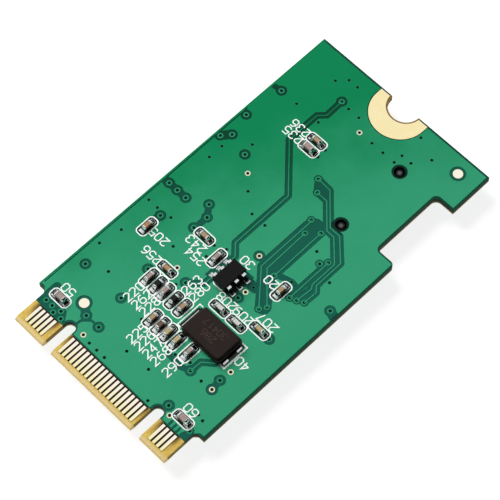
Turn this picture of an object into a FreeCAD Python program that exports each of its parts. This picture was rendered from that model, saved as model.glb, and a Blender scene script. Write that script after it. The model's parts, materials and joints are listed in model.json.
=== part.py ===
"""Plug-in card edge board that carries a small memory card socket.

Frame: the origin is the middle of the mating edge at half the board's thickness. +X runs to the right,
+Y runs from the edge fingers to the screw notch, and +Z points out of the upper face, which carries the
small parts. The socket and the controller are on the lower face. Lengths are in millimetres.
"""
import FreeCAD, Part
import math
import os
import Sketcher
from FreeCAD import Placement, Rotation, Vector

UP = Vector(0, 0, 1)
ALONG_X = Vector(1, 0, 0)
UPPER, LOWER = 1, -1
QUARTER_TURN, HALF_TURN, FULL_TURN = 90, 180, 360
NEAR = 1e-4

SIZES = {
    # Circuit board
    "board_width": 22.0,
    "board_length": 42.0,
    "board_thickness": 0.8,
    "tab_width": 19.85,
    "tab_height": 4.0,
    "shoulder_fillet": 0.55,
    "key_slot_width": 1.2,
    "key_slot_depth": 3.5,
    "left_key_x": -5.625,
    "right_key_x": 6.125,
    "bevel_length": 0.35,
    "bevel_depth": 0.2,
    "screw_notch_radius": 1.75,
    "cutout_depth": 2.2,
    "cutout_start": 28.85,
    "cutout_length": 8.1,
    "cutout_near_fillet": 0.45,
    "cutout_far_fillet": 0.7,
    "cutout_lip_fillet": 0.45,
    # Copper on both faces
    "copper_thickness": 0.035,
    "finger_pitch": 0.5,
    "finger_width": 0.35,
    "finger_start": 0.52,
    "finger_length": 1.93,
    "screw_land_radius": 3.05,
    "screw_land_inset": 0.85,
    "screw_land_setback": 0.17,
    "fiducial_diameter": 1.0,
    "near_fiducial_x": -6.5,
    "near_fiducial_y": 5.55,
    "far_fiducial_x": 8.62,
    "far_fiducial_y": 40.15,
    "land_margin": 0.1,
    # Chips, two case sizes
    "small_chip_length": 1.0,
    "small_chip_width": 0.5,
    "small_chip_height": 0.5,
    "small_cap_length": 0.25,
    "small_land_length": 0.65,
    "wide_chip_length": 1.1,
    "wide_chip_width": 0.65,
    "wide_chip_height": 0.6,
    "wide_cap_length": 0.25,
    "wide_land_length": 0.65,
    "land_overhang": 0.38,
    "cap_wall": 0.03,
    "chip_chamfer": 0.04,
    # Regulator
    "regulator_x": 1.15,
    "regulator_y": 16.9,
    "regulator_width": 1.6,
    "regulator_length": 2.9,
    "regulator_thickness": 1.0,
    "regulator_standoff": 0.1,
    "regulator_parting": 0.76,
    "regulator_lead_pitch": 0.95,
    "regulator_lead_width": 0.4,
    "regulator_lead_sheet": 0.14,
    "regulator_lead_reach": 0.6,
    # Crystal
    "crystal_x": 4.3,
    "crystal_y": 11.53,
    "crystal_length": 5.0,
    "crystal_width": 3.2,
    "crystal_base_height": 0.45,
    "crystal_lid_height": 0.4,
    "crystal_lid_margin": 0.1,
    "crystal_corner": 0.4,
    "crystal_lid_chamfer": 0.08,
    "terminal_width": 2.6,
    "terminal_foot": 0.9,
    "terminal_overhang": 0.15,
    "terminal_rise": 0.36,
    "terminal_sheet": 0.08,
    # Memory card and its socket
    "card_width": 11.0,
    "card_length": 15.0,
    "card_thickness": 0.7,
    "card_side_clearance": 0.1,
    "card_top_clearance": 0.15,
    "mouth_setback": 0.6,
    "shell_sheet": 0.15,
    "shell_bend": 0.3,
    "shell_window_length": 0.7,
    "shell_window_height": 0.35,
    "shell_window_lift": 0.55,
    "shell_foot_length": 1.3,
    "shell_foot_reach": 0.75,
    "shell_front_foot_setback": 0.5,
    "shell_rear_foot_setback": 0.6,
    "mouth_notch_width": 7.0,
    "mouth_notch_depth": 1.1,
    "mouth_notch_slant": 0.6,
    "tongue_length": 4.2,
    "tongue_width": 1.3,
    "tongue_gap": 0.25,
    "tongue_spread": 6.4,
    "tongue_setback": 3.0,
    "dimple_setback": 0.7,
    "dimple_radius": 0.45,
    "dimple_depth": 0.12,
    "dimple_draft": 0.15,
    "tip_window_length": 1.5,
    "tip_window_margin": 0.9,
    "housing_floor": 0.4,
    "housing_back_wall": 1.0,
    "housing_clearance": 0.05,
    "housing_front_setback": 0.5,
    "floor_window_length": 4.6,
    "floor_window_width": 6.0,
    "floor_window_setback": 3.0,
    "latch_clearance": 0.04,
    "socket_centre_y": 32.34,
    "peg_x": 4.55,
    "peg_spacing": 8.04,
    "peg_diameter": 0.95,
    "peg_length": 0.62,
    "peg_chamfer": 0.12,
    "peg_clearance": 0.1,
    "contact_pitch": 1.1,
    "contact_row_offset": 0.45,
    "contact_width": 0.42,
    "contact_sheet": 0.12,
    "contact_slot_clearance": 0.04,
    "contact_slot_lead": 0.4,
    "contact_tail": 0.9,
    "contact_run": 1.3,
    "contact_beam": 2.3,
    "contact_rise": 0.3,
    "contact_lip": 0.55,
    "contact_drop": 0.22,
    "detect_inset": 0.65,
    # Controller
    "controller_x": 1.0,
    "controller_y": 12.5,
    "controller_width": 7.0,
    "controller_thickness": 1.1,
    "controller_standoff": 0.1,
    "controller_parting": 0.65,
    "controller_lead_pitch": 0.5,
    "controller_lead_width": 0.22,
    "controller_lead_sheet": 0.13,
    "controller_lead_reach": 1.0,
    "controller_dot_inset": 1.1,
    "controller_dot_radius": 0.4,
    "controller_dot_depth": 0.06,
    "mould_draft": 9.0,
    "lead_shoulder": 0.22,
    "lead_foot_share": 0.5,
    "lead_land_overhang": 0.2,
}

# Chips by name: side, case size, direction, and the centre's X and Y.
CHIPS = {
    "capacitor_1": (UPPER, "small", "x", -3.36, 33.10),
    "capacitor_2": (UPPER, "wide", "x", -3.36, 31.98),
    "capacitor_3": (UPPER, "small", "x", -3.59, 18.28),
    "capacitor_4": (UPPER, "small", "y", -1.18, 17.50),
    "capacitor_5": (UPPER, "small", "y", -8.18, 15.20),
    "capacitor_6": (UPPER, "small", "x", -3.59, 13.40),
    "capacitor_7": (UPPER, "small", "y", 5.50, 19.33),
    "capacitor_8": (UPPER, "small", "x", 6.90, 15.10),
    "capacitor_9": (UPPER, "small", "x", 2.74, 14.07),
    "capacitor_10": (UPPER, "small", "x", 4.92, 14.07),
    "capacitor_11": (UPPER, "small", "y", -4.14, 11.65),
    "ferrite_bead_1": (UPPER, "small", "y", -3.02, 11.65),
    "capacitor_12": (UPPER, "small", "y", -2.03, 11.65),
    "ferrite_bead_2": (UPPER, "small", "y", -0.84, 11.65),
    "capacitor_13": (UPPER, "small", "y", 0.28, 11.65),
    "capacitor_14": (UPPER, "small", "y", -0.87, 8.95),
    "capacitor_15": (UPPER, "small", "y", 0.17, 8.95),
    "capacitor_16": (UPPER, "small", "y", 1.18, 8.95),
    "capacitor_17": (UPPER, "small", "y", 2.32, 8.95),
    "capacitor_18": (UPPER, "small", "y", 3.95, 8.95),
    "capacitor_19": (UPPER, "wide", "x", -8.43, 4.33),
    "capacitor_20": (UPPER, "wide", "x", 8.31, 4.00),
    "capacitor_21": (LOWER, "small", "y", -5.10, 10.60),
    "capacitor_22": (LOWER, "small", "y", -5.10, 14.40),
    "capacitor_23": (LOWER, "small", "y", 7.10, 10.60),
    "capacitor_24": (LOWER, "small", "y", 7.10, 14.40),
    "capacitor_25": (LOWER, "small", "y", -0.20, 5.60),
    "capacitor_26": (LOWER, "small", "y", 0.90, 5.60),
    "resistor_1": (LOWER, "small", "y", -2.80, 21.00),
    "resistor_2": (LOWER, "small", "y", -1.70, 21.00),
    "resistor_3": (LOWER, "small", "y", -0.60, 21.00),
    "resistor_4": (LOWER, "small", "y", 0.50, 21.00),
}

# Edge fingers by face: the first pad's X and the number of pads in each group.
FINGER_GROUPS = {
    "edge_fingers_upper": (UPPER, ((-9.0, 5), (-4.5, 20), (7.5, 4))),
    "edge_fingers_lower": (LOWER, ((-9.25, 6), (-4.25, 19), (7.25, 5))),
}
CONTACT_COUNT = 8
REGULATOR_LEADS_A_SIDE = 3
CONTROLLER_LEADS_A_SIDE = 12


class Size:
    """A length that keeps its spreadsheet formula beside its value."""

    def __init__(self, value, formula=None):
        self.value = float(value)
        self.formula = formula or f"({self.value})"

    @staticmethod
    def of(thing):
        return thing if isinstance(thing, Size) else Size(thing)

    def __add__(self, other):
        other = Size.of(other)
        return Size(self.value + other.value, f"({self.formula} + {other.formula})")

    def __sub__(self, other):
        other = Size.of(other)
        return Size(self.value - other.value, f"({self.formula} - {other.formula})")

    def __mul__(self, other):
        other = Size.of(other)
        return Size(self.value * other.value, f"({self.formula} * {other.formula})")

    def __truediv__(self, other):
        other = Size.of(other)
        return Size(self.value / other.value, f"({self.formula} / {other.formula})")

    def __neg__(self):
        return Size(-self.value, f"(-{self.formula})")

    def __rsub__(self, other):
        return Size.of(other) - self

    def __rmul__(self, other):
        return Size.of(other) * self


doc = FreeCAD.newDocument("memory_card_adapter")
sheet = doc.addObject("Spreadsheet::Sheet", "Sizes")
sub_parts = []


def chip_places():
    """Give each chip's centre a named X and Y."""
    places = {}
    for name, (_, _, _, x, y) in CHIPS.items():
        places[f"{name}_x"] = x
        places[f"{name}_y"] = y
    return places


def finger_places():
    """Give each finger group's first pad a named X."""
    return {
        f"{name}_group_{number}_x": first
        for name, (_, groups) in FINGER_GROUPS.items()
        for number, (first, _) in enumerate(groups, start=1)
    }


def fill_sheet(named_values):
    """Write one row per value and return the values as sizes, by name."""
    for row, (name, value) in enumerate(named_values.items(), start=1):
        sheet.set(f"A{row}", name)
        sheet.set(f"B{row}", str(value))
        sheet.setAlias(f"B{row}", name)
    doc.recompute()
    return {name: Size(value, f"Sizes.{name}") for name, value in named_values.items()}


size = fill_sheet({**SIZES, **chip_places(), **finger_places()})

half_board = size["board_thickness"] / 2
copper = size["copper_thickness"]
board_right = size["board_width"] / 2
socket_y = size["socket_centre_y"]
cutout_x = board_right - size["cutout_depth"]
mouth_x = cutout_x - size["mouth_setback"]
card_stop_x = board_right - size["card_length"]
socket_rear_x = card_stop_x - size["housing_back_wall"]
slot_width = size["card_width"] + 2 * size["card_side_clearance"]
slot_top = size["housing_floor"] + size["card_thickness"] + size["card_top_clearance"]
housing_half_width = slot_width / 2 - size["housing_clearance"]
shell_half_width = slot_width / 2 + size["shell_sheet"]
shell_height = slot_top + size["shell_sheet"]
contact_knee_x = socket_rear_x + size["contact_run"]
contact_crest_x = contact_knee_x + size["contact_beam"]
contact_tip_x = contact_crest_x + size["contact_lip"]
latch_x = socket_rear_x + size["housing_back_wall"] / 2


def bind(thing, path, length):
    """Tie one property to the sheet."""
    thing.setExpression(path, Size.of(length).formula)


def sub_part(thing, label):
    """Name a finished piece and keep it for writing."""
    thing.Label = label
    sub_parts.append(thing)


def new_body(name):
    return doc.addObject("PartDesign::Body", name)


def origin_feature(body, role):
    return next(feature for feature in body.Origin.OriginFeatures if feature.Role == role)


def seat(thing, x=0.0, y=0.0, side=UPPER, turn=0):
    """Stand a piece on a face of the board: its own +Z then points away from that face."""
    over = Rotation(ALONG_X, 0 if side == UPPER else HALF_TURN)
    thing.Placement = Placement(Vector(), Rotation(UP, turn) * over)
    bind(thing, "Placement.Base.x", x)
    bind(thing, "Placement.Base.y", y)
    bind(thing, "Placement.Base.z", side * half_board)


def sketch(body, name, role="XY_Plane", lift=0.0):
    drawing = body.newObject("Sketcher::SketchObject", name)
    drawing.AttachmentSupport = [(origin_feature(body, role), "")]
    drawing.MapMode = "FlatFace"
    bind(drawing, "AttachmentOffset.Base.z", lift)
    return drawing


def dimension(drawing, kind, *arguments):
    """Add a driving dimension whose last argument is a size."""
    length = Size.of(arguments[-1])
    number = drawing.addConstraint(Sketcher.Constraint(kind, *arguments[:-1], length.value))
    drawing.setExpression(f"Constraints[{number}]", length.formula)


def place_point(drawing, curve, point, x, y):
    dimension(drawing, "DistanceX", -1, 1, curve, point, x)
    dimension(drawing, "DistanceY", -1, 1, curve, point, y)


def draw_lines(drawing, corners, closed=True):
    """Draw straight lines through corners, each given as two sizes."""
    spots = [(Size.of(x), Size.of(y)) for x, y in corners]
    ends = spots[1:] + spots[:1] if closed else spots[1:]
    lines = [
        drawing.addGeometry(Part.LineSegment(Vector(x.value, y.value, 0), Vector(u.value, v.value, 0)))
        for (x, y), (u, v) in zip(spots, ends)
    ]
    for line, (x, y) in zip(lines, spots):
        place_point(drawing, line, 1, x, y)
    for line, after in zip(lines, lines[1:]):
        drawing.addConstraint(Sketcher.Constraint("Coincident", line, 2, after, 1))
    if closed:
        drawing.addConstraint(Sketcher.Constraint("Coincident", lines[-1], 2, lines[0], 1))
    else:
        place_point(drawing, lines[-1], 2, *spots[-1])
    return drawing


def draw_rectangle(drawing, low_x, low_y, high_x, high_y):
    return draw_lines(drawing, ((low_x, low_y), (high_x, low_y), (high_x, high_y), (low_x, high_y)))


def draw_circle(drawing, x, y, radius):
    x, y, radius = Size.of(x), Size.of(y), Size.of(radius)
    circle = drawing.addGeometry(Part.Circle(Vector(x.value, y.value, 0), UP, radius.value))
    place_point(drawing, circle, 3, x, y)
    dimension(drawing, "Radius", circle, radius)
    return drawing


def pad(body, name, drawing, length, symmetric=False, backwards=False, draft=None):
    feature = body.newObject("PartDesign::Pad", name)
    feature.Profile = drawing
    feature.SideType = "Symmetric" if symmetric else "One side"
    feature.Reversed = backwards
    bind(feature, "Length", length)
    if draft is not None:
        bind(feature, "TaperAngle", -draft)
    doc.recompute()
    return feature


def pocket(body, name, drawing, depth=None):
    """Cut a drawing through everything both ways, or to a depth below its plane."""
    before = body.Shape.Volume
    feature = body.newObject("PartDesign::Pocket", name)
    feature.Profile = drawing
    if depth is None:
        feature.Type = "ThroughAll"
        feature.SideType = "Symmetric"
    else:
        feature.Type = "Length"
        bind(feature, "Length", depth)
    doc.recompute()
    if not body.Shape.Volume < before:
        raise RuntimeError(f"{name} removed nothing")
    return feature


def primitive(body, kind, name, corner, **lengths):
    """Add or cut a block, cylinder or cone that stands at a place in the body's own axes."""
    feature = body.newObject(f"PartDesign::{kind}", name)
    feature.AttachmentSupport = [(origin_feature(body, "XY_Plane"), "")]
    feature.MapMode = "FlatFace"
    for axis, place in zip("xyz", corner):
        bind(feature, f"AttachmentOffset.Base.{axis}", place)
    for key, length in lengths.items():
        bind(feature, key, length)
    doc.recompute()
    return feature


def centred_block(body, name, length, width, height, lift, kind="AdditiveBox"):
    corner = (-length / 2, -width / 2, lift)
    return primitive(body, kind, name, corner, Length=length, Width=width, Height=height)


def edges_along(shape, axis, spots):
    """Names of the straight edges that run along an axis (0, 1 or 2) through the given places."""
    across = [i for i in range(3) if i != axis]
    wanted = [tuple(Size.of(place).value for place in spot) for spot in spots]
    names = []
    for number, edge in enumerate(shape.Edges, start=1):
        first, last = edge.Vertexes[0].Point, edge.Vertexes[-1].Point
        start = [first[i] for i in across]
        end = [last[i] for i in across]
        if any(math.dist(start, spot) < NEAR and math.dist(end, spot) < NEAR for spot in wanted):
            names.append(f"Edge{number}")
    if len(names) < len(wanted):
        raise RuntimeError("an edge to be rounded was not found")
    return names


def top_face(shape):
    """Name of the flat face that lies highest."""
    heights = [face.CenterOfMass.z for face in shape.Faces]
    return [f"Face{heights.index(max(heights)) + 1}"]


def dress(body, kind, name, amount, chosen=None):
    """Round or chamfer the chosen edges or faces of the tip, or all its edges."""
    base = body.Tip
    feature = body.newObject(f"PartDesign::{kind}", name)
    feature.Base = (base, chosen or [""])
    feature.UseAllEdges = chosen is None
    bind(feature, "Radius" if kind == "Fillet" else "Size", amount)
    doc.recompute()
    return feature


def round_edges(body, name, radius, axis, *spots):
    return dress(body, "Fillet", name, radius, edges_along(body.Tip.Shape, axis, spots))


def repeat(body, name, original, role, span, count):
    """Copy a feature in a row along one of the body's axes."""
    row = body.newObject("PartDesign::LinearPattern", name)
    row.Originals = [original]
    row.Direction = (origin_feature(body, role), [""])
    bind(row, "Length", span)
    row.Occurrences = count
    body.Tip = row
    doc.recompute()


def turn_whole(body, name, count):
    """Copy the whole body round its own Z axis."""
    ring = body.newObject("PartDesign::PolarPattern", name)
    ring.TransformMode = "Whole shape"
    ring.Axis = (origin_feature(body, "Z_Axis"), [""])
    ring.Angle = FULL_TURN
    ring.Occurrences = count
    body.Tip = ring
    doc.recompute()


def group(name, members):
    """Join separate solids of one kind into one sub-part."""
    together = doc.addObject("Part::Compound", f"{name}_group")
    together.Links = members
    sub_part(together, name)


def formed_strip(body, name, path, width, sheet_thickness, y=0.0):
    """Carry a strip's rectangular section along a bent path in the body's XZ plane, centred on y."""
    y = Size.of(y)
    start_x, start_z = path[0]
    line = draw_lines(sketch(body, f"{name}_path", "XZ_Plane", -y), path, closed=False)
    section = sketch(body, f"{name}_section", "YZ_Plane", start_x)
    draw_rectangle(section, y - width / 2, start_z - sheet_thickness / 2,
                   y + width / 2, start_z + sheet_thickness / 2)
    pipe = body.newObject("PartDesign::AdditivePipe", name)
    pipe.Profile = section
    pipe.Spine = (line, [])
    pipe.Transition = "Right corner"
    doc.recompute()
    return pipe


def moulded_case(body, width, length, thickness, standoff, parting):
    """A moulded case: both halves taper away from the parting line, where the leads come out."""
    halves = (("upper_half", standoff + thickness - parting, False), ("lower_half", parting - standoff, True))
    for name, height, backwards in halves:
        outline = sketch(body, f"{name}_outline", lift=parting)
        draw_rectangle(outline, -width / 2, -length / 2, width / 2, length / 2)
        pad(body, name, outline, height, backwards=backwards, draft=size["mould_draft"])


def gull_wing_row(body, half_width, parting, reach, width, sheet_thickness, pitch, count):
    """Leads that leave the case at the parting line, bend down and end in a flat foot."""
    foot_z = copper + sheet_thickness / 2
    knee_x = half_width + size["lead_shoulder"]
    heel_x = half_width + reach * (1 - size["lead_foot_share"])
    path = ((half_width, parting), (knee_x, parting), (heel_x, foot_z), (half_width + reach, foot_z))
    first_y = -(pitch * (count - 1) / 2)
    lead = formed_strip(body, "lead", path, width, sheet_thickness, first_y)
    repeat(body, "lead_row", lead, "Y_Axis", pitch * (count - 1), count)


def make_board():
    body = new_body("laminate_body")
    far, tab, shoulder = size["board_length"], size["tab_width"] / 2, size["tab_height"]
    cut_near = size["cutout_start"]
    cut_far = cut_near + size["cutout_length"]
    outline = draw_lines(sketch(body, "board_outline"), (
        (-tab, 0), (tab, 0), (tab, shoulder), (board_right, shoulder),
        (board_right, cut_near), (cutout_x, cut_near), (cutout_x, cut_far), (board_right, cut_far),
        (board_right, far), (-board_right, far), (-board_right, shoulder), (-tab, shoulder),
    ))
    pad(body, "laminate", outline, size["board_thickness"], symmetric=True)
    round_edges(body, "shoulders", size["shoulder_fillet"], 2, (-tab, shoulder), (tab, shoulder))
    round_edges(body, "cutout_near_corner", size["cutout_near_fillet"], 2, (cutout_x, cut_near))
    round_edges(body, "cutout_far_corner", size["cutout_far_fillet"], 2, (cutout_x, cut_far))
    round_edges(body, "cutout_lip", size["cutout_lip_fillet"], 2, (board_right, cut_near))
    cut_key_slots(body)
    pocket(body, "screw_notch", draw_circle(
        sketch(body, "screw_notch_outline"), 0, far, size["screw_notch_radius"]))
    holes = sketch(body, "peg_hole_outlines")
    for end in (-1, 1):
        peg_y = socket_y + end * size["peg_spacing"] / 2
        draw_circle(holes, size["peg_x"], peg_y, size["peg_diameter"] / 2 + size["peg_clearance"])
    pocket(body, "peg_holes", holes)
    bevels = sketch(body, "bevel_outline", "YZ_Plane")
    for side in (UPPER, LOWER):
        face = side * half_board
        below_face = face - side * size["bevel_depth"]
        draw_lines(bevels, ((0, face), (size["bevel_length"], face), (0, below_face)))
    pocket(body, "edge_bevel", bevels)
    sub_part(body, "circuit_board")


def cut_key_slots(body):
    """Two slots, open at the mating edge and round at their ends."""
    radius = size["key_slot_width"] / 2
    centre_y = size["key_slot_depth"] - radius
    for side in ("left", "right"):
        x = size[f"{side}_key_x"]
        walls = sketch(body, f"{side}_key_walls")
        draw_rectangle(walls, x - radius, -radius, x + radius, centre_y)
        pocket(body, f"{side}_key_slot", walls)
        end_round = draw_circle(sketch(body, f"{side}_key_round"), x, centre_y, radius)
        pocket(body, f"{side}_key_end", end_round)


def make_edge_fingers():
    """Three groups of gold pads on each face of the tab."""
    width, length, pitch = (size[f"finger_{name}"] for name in ("width", "length", "pitch"))
    start = size["finger_start"]
    for name, (side, groups) in FINGER_GROUPS.items():
        body = new_body(f"{name}_body")
        low_y = start if side == UPPER else -(start + length)
        for number, (_, count) in enumerate(groups, start=1):
            low_x = size[f"{name}_group_{number}_x"] - width / 2
            first = primitive(body, "AdditiveBox", f"finger_{number}", (low_x, low_y, 0),
                              Length=width, Width=length, Height=copper)
            repeat(body, f"finger_row_{number}", first, "X_Axis", pitch * (count - 1), count)
        seat(body, side=side)
        sub_part(body, name)


def make_screw_lands():
    """A gold U round the screw notch on each face: half a disc with straight sides."""
    radius, setback = size["screw_land_radius"], size["screw_land_setback"]
    for name, side in (("screw_land_upper", UPPER), ("screw_land_lower", LOWER)):
        body = new_body(f"{name}_body")
        edge_y = side * (size["screw_land_inset"] - setback)
        pad(body, "disc", draw_circle(sketch(body, "disc_outline"), 0, 0, radius), copper)
        sides = sketch(body, "sides_outline")
        pad(body, "straight_sides", draw_rectangle(sides, -radius, 0, radius, edge_y), copper)
        beyond = sketch(body, "beyond_edge_outline")
        pocket(body, "beyond_edge", draw_rectangle(beyond, -radius, edge_y, radius, side * radius))
        notch_y, notch_radius = side * size["screw_land_inset"], size["screw_notch_radius"] + setback
        notch = draw_circle(sketch(body, "notch_outline"), 0, notch_y, notch_radius)
        pocket(body, "notch", notch)
        seat(body, 0, size["board_length"] - size["screw_land_inset"], side)
        sub_part(body, name)


def make_fiducials():
    discs = []
    for place in ("near", "far"):
        disc = doc.addObject("Part::Cylinder", f"{place}_fiducial")
        bind(disc, "Radius", size["fiducial_diameter"] / 2)
        bind(disc, "Height", copper)
        seat(disc, size[f"{place}_fiducial_x"], size[f"{place}_fiducial_y"])
        discs.append(disc)
    group("fiducial_marks", discs)


def chip_frame(case):
    """Length, width and height of a chip over its end caps."""
    return [size[f"{case}_chip_{side}"] for side in ("length", "width", "height")]


def make_chips():
    """Each chip is a ceramic block; its two end caps are thin cups that fit over the block's ends."""
    wall = size["cap_wall"]
    caps = {UPPER: [], LOWER: []}
    for name, (side, case, direction, _, _) in CHIPS.items():
        length, width, height = chip_frame(case)
        core = [extent - 2 * wall for extent in (length, width, height)]
        turn = QUARTER_TURN if direction == "y" else 0
        block = new_body(f"{name}_body")
        centred_block(block, "ceramic", *core, copper + wall)
        dress(block, "Chamfer", "worn_edges", size["chip_chamfer"])
        cups = new_body(f"{name}_caps")
        centred_block(cups, "plating", length, width, height, copper)
        dress(cups, "Chamfer", "worn_edges", size["chip_chamfer"])
        centred_block(cups, "bare_middle", length - 2 * size[f"{case}_cap_length"], 2 * width, 2 * height,
                      copper - height / 2, "SubtractiveBox")
        centred_block(cups, "inside", *core, copper + wall, "SubtractiveBox")
        for piece in (block, cups):
            seat(piece, size[f"{name}_x"], size[f"{name}_y"], side, turn)
        caps[side].append(cups)
        sub_part(block, name)
    group("chip_end_caps_upper", caps[UPPER])
    group("chip_end_caps_lower", caps[LOWER])


def land(x, y, length, width, side):
    """One solder land, centred on a place of a board face."""
    plate = doc.addObject("Part::Box", "land")
    for key, extent in (("Length", length), ("Width", width), ("Height", copper)):
        bind(plate, key, extent)
    bind(plate, "Placement.Base.x", x - length / 2)
    bind(plate, "Placement.Base.y", y - width / 2)
    bind(plate, "Placement.Base.z", half_board if side == UPPER else -half_board - copper)
    return plate


def chip_lands(name):
    side, case, direction, _, _ = CHIPS[name]
    x, y = size[f"{name}_x"], size[f"{name}_y"]
    chip_length, chip_width, _ = chip_frame(case)
    length, width = size[f"{case}_land_length"], chip_width + size["land_margin"]
    reach = chip_length / 2 + size["land_overhang"] - length / 2
    if direction == "x":
        return [land(x + end * reach, y, length, width, side) for end in (-1, 1)]
    return [land(x, y + end * reach, width, length, side) for end in (-1, 1)]


def lead_lands(case, half_width, count, sides, side):
    """Lands under a moulded case's feet, on two or four sides."""
    x, y = size[f"{case}_x"], size[f"{case}_y"]
    reach, margin, overhang = size[f"{case}_lead_reach"], size["land_margin"], size["lead_land_overhang"]
    length = reach * size["lead_foot_share"] + margin + overhang
    middle = half_width + reach + overhang - length / 2
    width = size[f"{case}_lead_width"] + margin / 2
    plates = []
    for number in range(count):
        step = size[f"{case}_lead_pitch"] * (number - (count - 1) / 2)
        for end in (-1, 1):
            plates.append(land(x + end * middle, y + step, length, width, side))
            if sides == 4:
                plates.append(land(x + step, y + end * middle, width, length, side))
    return plates


def socket_lands():
    """Lands under the shell's four feet and the springs' tails."""
    margin, reach = size["land_margin"], size["shell_foot_reach"]
    plates = []
    for x in shell_foot_centres():
        for end in (-1, 1):
            y = socket_y + end * (shell_half_width + reach / 2)
            plates.append(land(x, y, size["shell_foot_length"] + 2 * margin, reach + margin, LOWER))
    tail, width = size["contact_tail"], size["contact_width"] + margin
    for y in [contact_y(number) for number in range(1, CONTACT_COUNT + 1)] + [detect_y()]:
        plates.append(land(socket_rear_x - tail / 2 - margin, socket_y - y, tail, width, LOWER))
    return plates


def make_solder_lands():
    upper = [plate for name in CHIPS if CHIPS[name][0] == UPPER for plate in chip_lands(name)]
    upper += lead_lands("regulator", size["regulator_width"] / 2, REGULATOR_LEADS_A_SIDE, 2, UPPER)
    foot, overhang, width = (size[f"terminal_{name}"] for name in ("foot", "overhang", "width"))
    for end in (-1, 1):
        x = size["crystal_x"] + end * (size["crystal_length"] - foot + overhang) / 2
        upper.append(land(x, size["crystal_y"], foot + overhang, width, UPPER))
    group("solder_lands_upper", upper)
    lower = [plate for name in CHIPS if CHIPS[name][0] == LOWER for plate in chip_lands(name)]
    lower += lead_lands("controller", size["controller_width"] / 2, CONTROLLER_LEADS_A_SIDE, 4, LOWER)
    group("solder_lands_lower", lower + socket_lands())


def make_regulator():
    width, length, thickness = (size[f"regulator_{side}"] for side in ("width", "length", "thickness"))
    standoff, parting = size["regulator_standoff"], size["regulator_parting"]
    case, leads = new_body("regulator_case"), new_body("regulator_lead_body")
    moulded_case(case, width, length, thickness, standoff, parting)
    gull_wing_row(leads, width / 2, parting, size["regulator_lead_reach"],
                  size["regulator_lead_width"], size["regulator_lead_sheet"],
                  size["regulator_lead_pitch"], REGULATOR_LEADS_A_SIDE)
    turn_whole(leads, "both_sides", 2)
    for piece, name in ((case, "regulator_body"), (leads, "regulator_leads")):
        seat(piece, size["regulator_x"], size["regulator_y"])
        sub_part(piece, name)


def make_crystal():
    """A sealed ceramic crystal: base, lid and a bent terminal at each end."""
    sheet_thickness, corner = size["terminal_sheet"], size["crystal_corner"]
    length, width = size["crystal_length"] - 2 * sheet_thickness, size["crystal_width"]
    base, lid, terminals = (new_body(f"crystal_{name}_body") for name in ("base", "lid", "terminal"))
    base_z = copper + sheet_thickness
    centred_block(base, "ceramic", length, width, size["crystal_base_height"], base_z)
    corners = [(i * length / 2, j * width / 2) for i in (-1, 1) for j in (-1, 1)]
    round_edges(base, "corners", corner / 2, 2, *corners)
    margin = size["crystal_lid_margin"]
    lid_length, lid_width = length - 2 * margin, width - 2 * margin
    centred_block(lid, "ceramic", lid_length, lid_width, size["crystal_lid_height"],
                  base_z + size["crystal_base_height"])
    round_edges(lid, "corners", corner, 2,
                *[(i * lid_length / 2, j * lid_width / 2) for i in (-1, 1) for j in (-1, 1)])
    dress(lid, "Chamfer", "top_edge", size["crystal_lid_chamfer"], top_face(lid.Tip.Shape))
    foot_z, wall_x = copper + sheet_thickness / 2, length / 2 + sheet_thickness / 2
    toe_x, tip_z = length / 2 - size["terminal_foot"], base_z + size["terminal_rise"]
    path = ((toe_x, foot_z), (wall_x, foot_z), (wall_x, tip_z))
    formed_strip(terminals, "terminal", path, size["terminal_width"], sheet_thickness)
    turn_whole(terminals, "both_ends", 2)
    for piece, name in ((base, "crystal_base"), (lid, "crystal_lid"), (terminals, "crystal_terminals")):
        seat(piece, size["crystal_x"], size["crystal_y"])
        sub_part(piece, name)


def shell_foot_centres():
    """X of the shell's solder feet: one pair near the mouth and one near the rear."""
    half = size["shell_foot_length"] / 2
    front_x = mouth_x - size["shell_front_foot_setback"] - half
    rear_x = socket_rear_x + size["shell_rear_foot_setback"] + half
    return front_x, rear_x


def make_socket_shell():
    """The folded cover of the socket, with spring tongues, windows and solder feet."""
    body = new_body("shell_body")
    thickness, half, foot_top = size["shell_sheet"], shell_half_width, copper + size["shell_sheet"]
    inner = half - thickness
    section = draw_lines(sketch(body, "fold_section", "YZ_Plane", socket_rear_x), (
        (-half, foot_top), (-half, shell_height), (half, shell_height), (half, foot_top),
        (inner, foot_top), (inner, slot_top), (-inner, slot_top), (-inner, foot_top),
    ))
    pad(body, "folded_sheet", section, mouth_x - socket_rear_x)
    bend = size["shell_bend"]
    round_edges(body, "outer_bends", bend, 0, (-half, shell_height), (half, shell_height))
    round_edges(body, "inner_bends", bend - thickness, 0, (-inner, slot_top), (inner, slot_top))
    foot_length, foot_reach = size["shell_foot_length"], size["shell_foot_reach"]
    for number, x in enumerate(shell_foot_centres(), start=1):
        for side, low_y in (("left", -half - foot_reach), ("right", inner)):
            primitive(body, "AdditiveBox", f"{side}_foot_{number}", (x - foot_length / 2, low_y, copper),
                      Length=foot_length, Width=foot_reach + thickness, Height=thickness)
    cut_mouth_notch(body)
    cut_tongues(body)
    window = sketch(body, "latch_window_outline", "XZ_Plane")
    half_window = size["shell_window_length"] / 2
    draw_rectangle(window, latch_x - half_window, size["shell_window_lift"],
                   latch_x + half_window, size["shell_window_lift"] + size["shell_window_height"])
    pocket(body, "latch_windows", window)
    tips = sketch(body, "tip_window_outline")
    reach, half_length = slot_width / 2 - size["tip_window_margin"], size["tip_window_length"] / 2
    draw_rectangle(tips, contact_crest_x - half_length, -reach, contact_crest_x + half_length, reach)
    pocket(body, "tip_window", tips)
    seat(body, 0, socket_y, LOWER)
    sub_part(body, "socket_shell")


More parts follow.
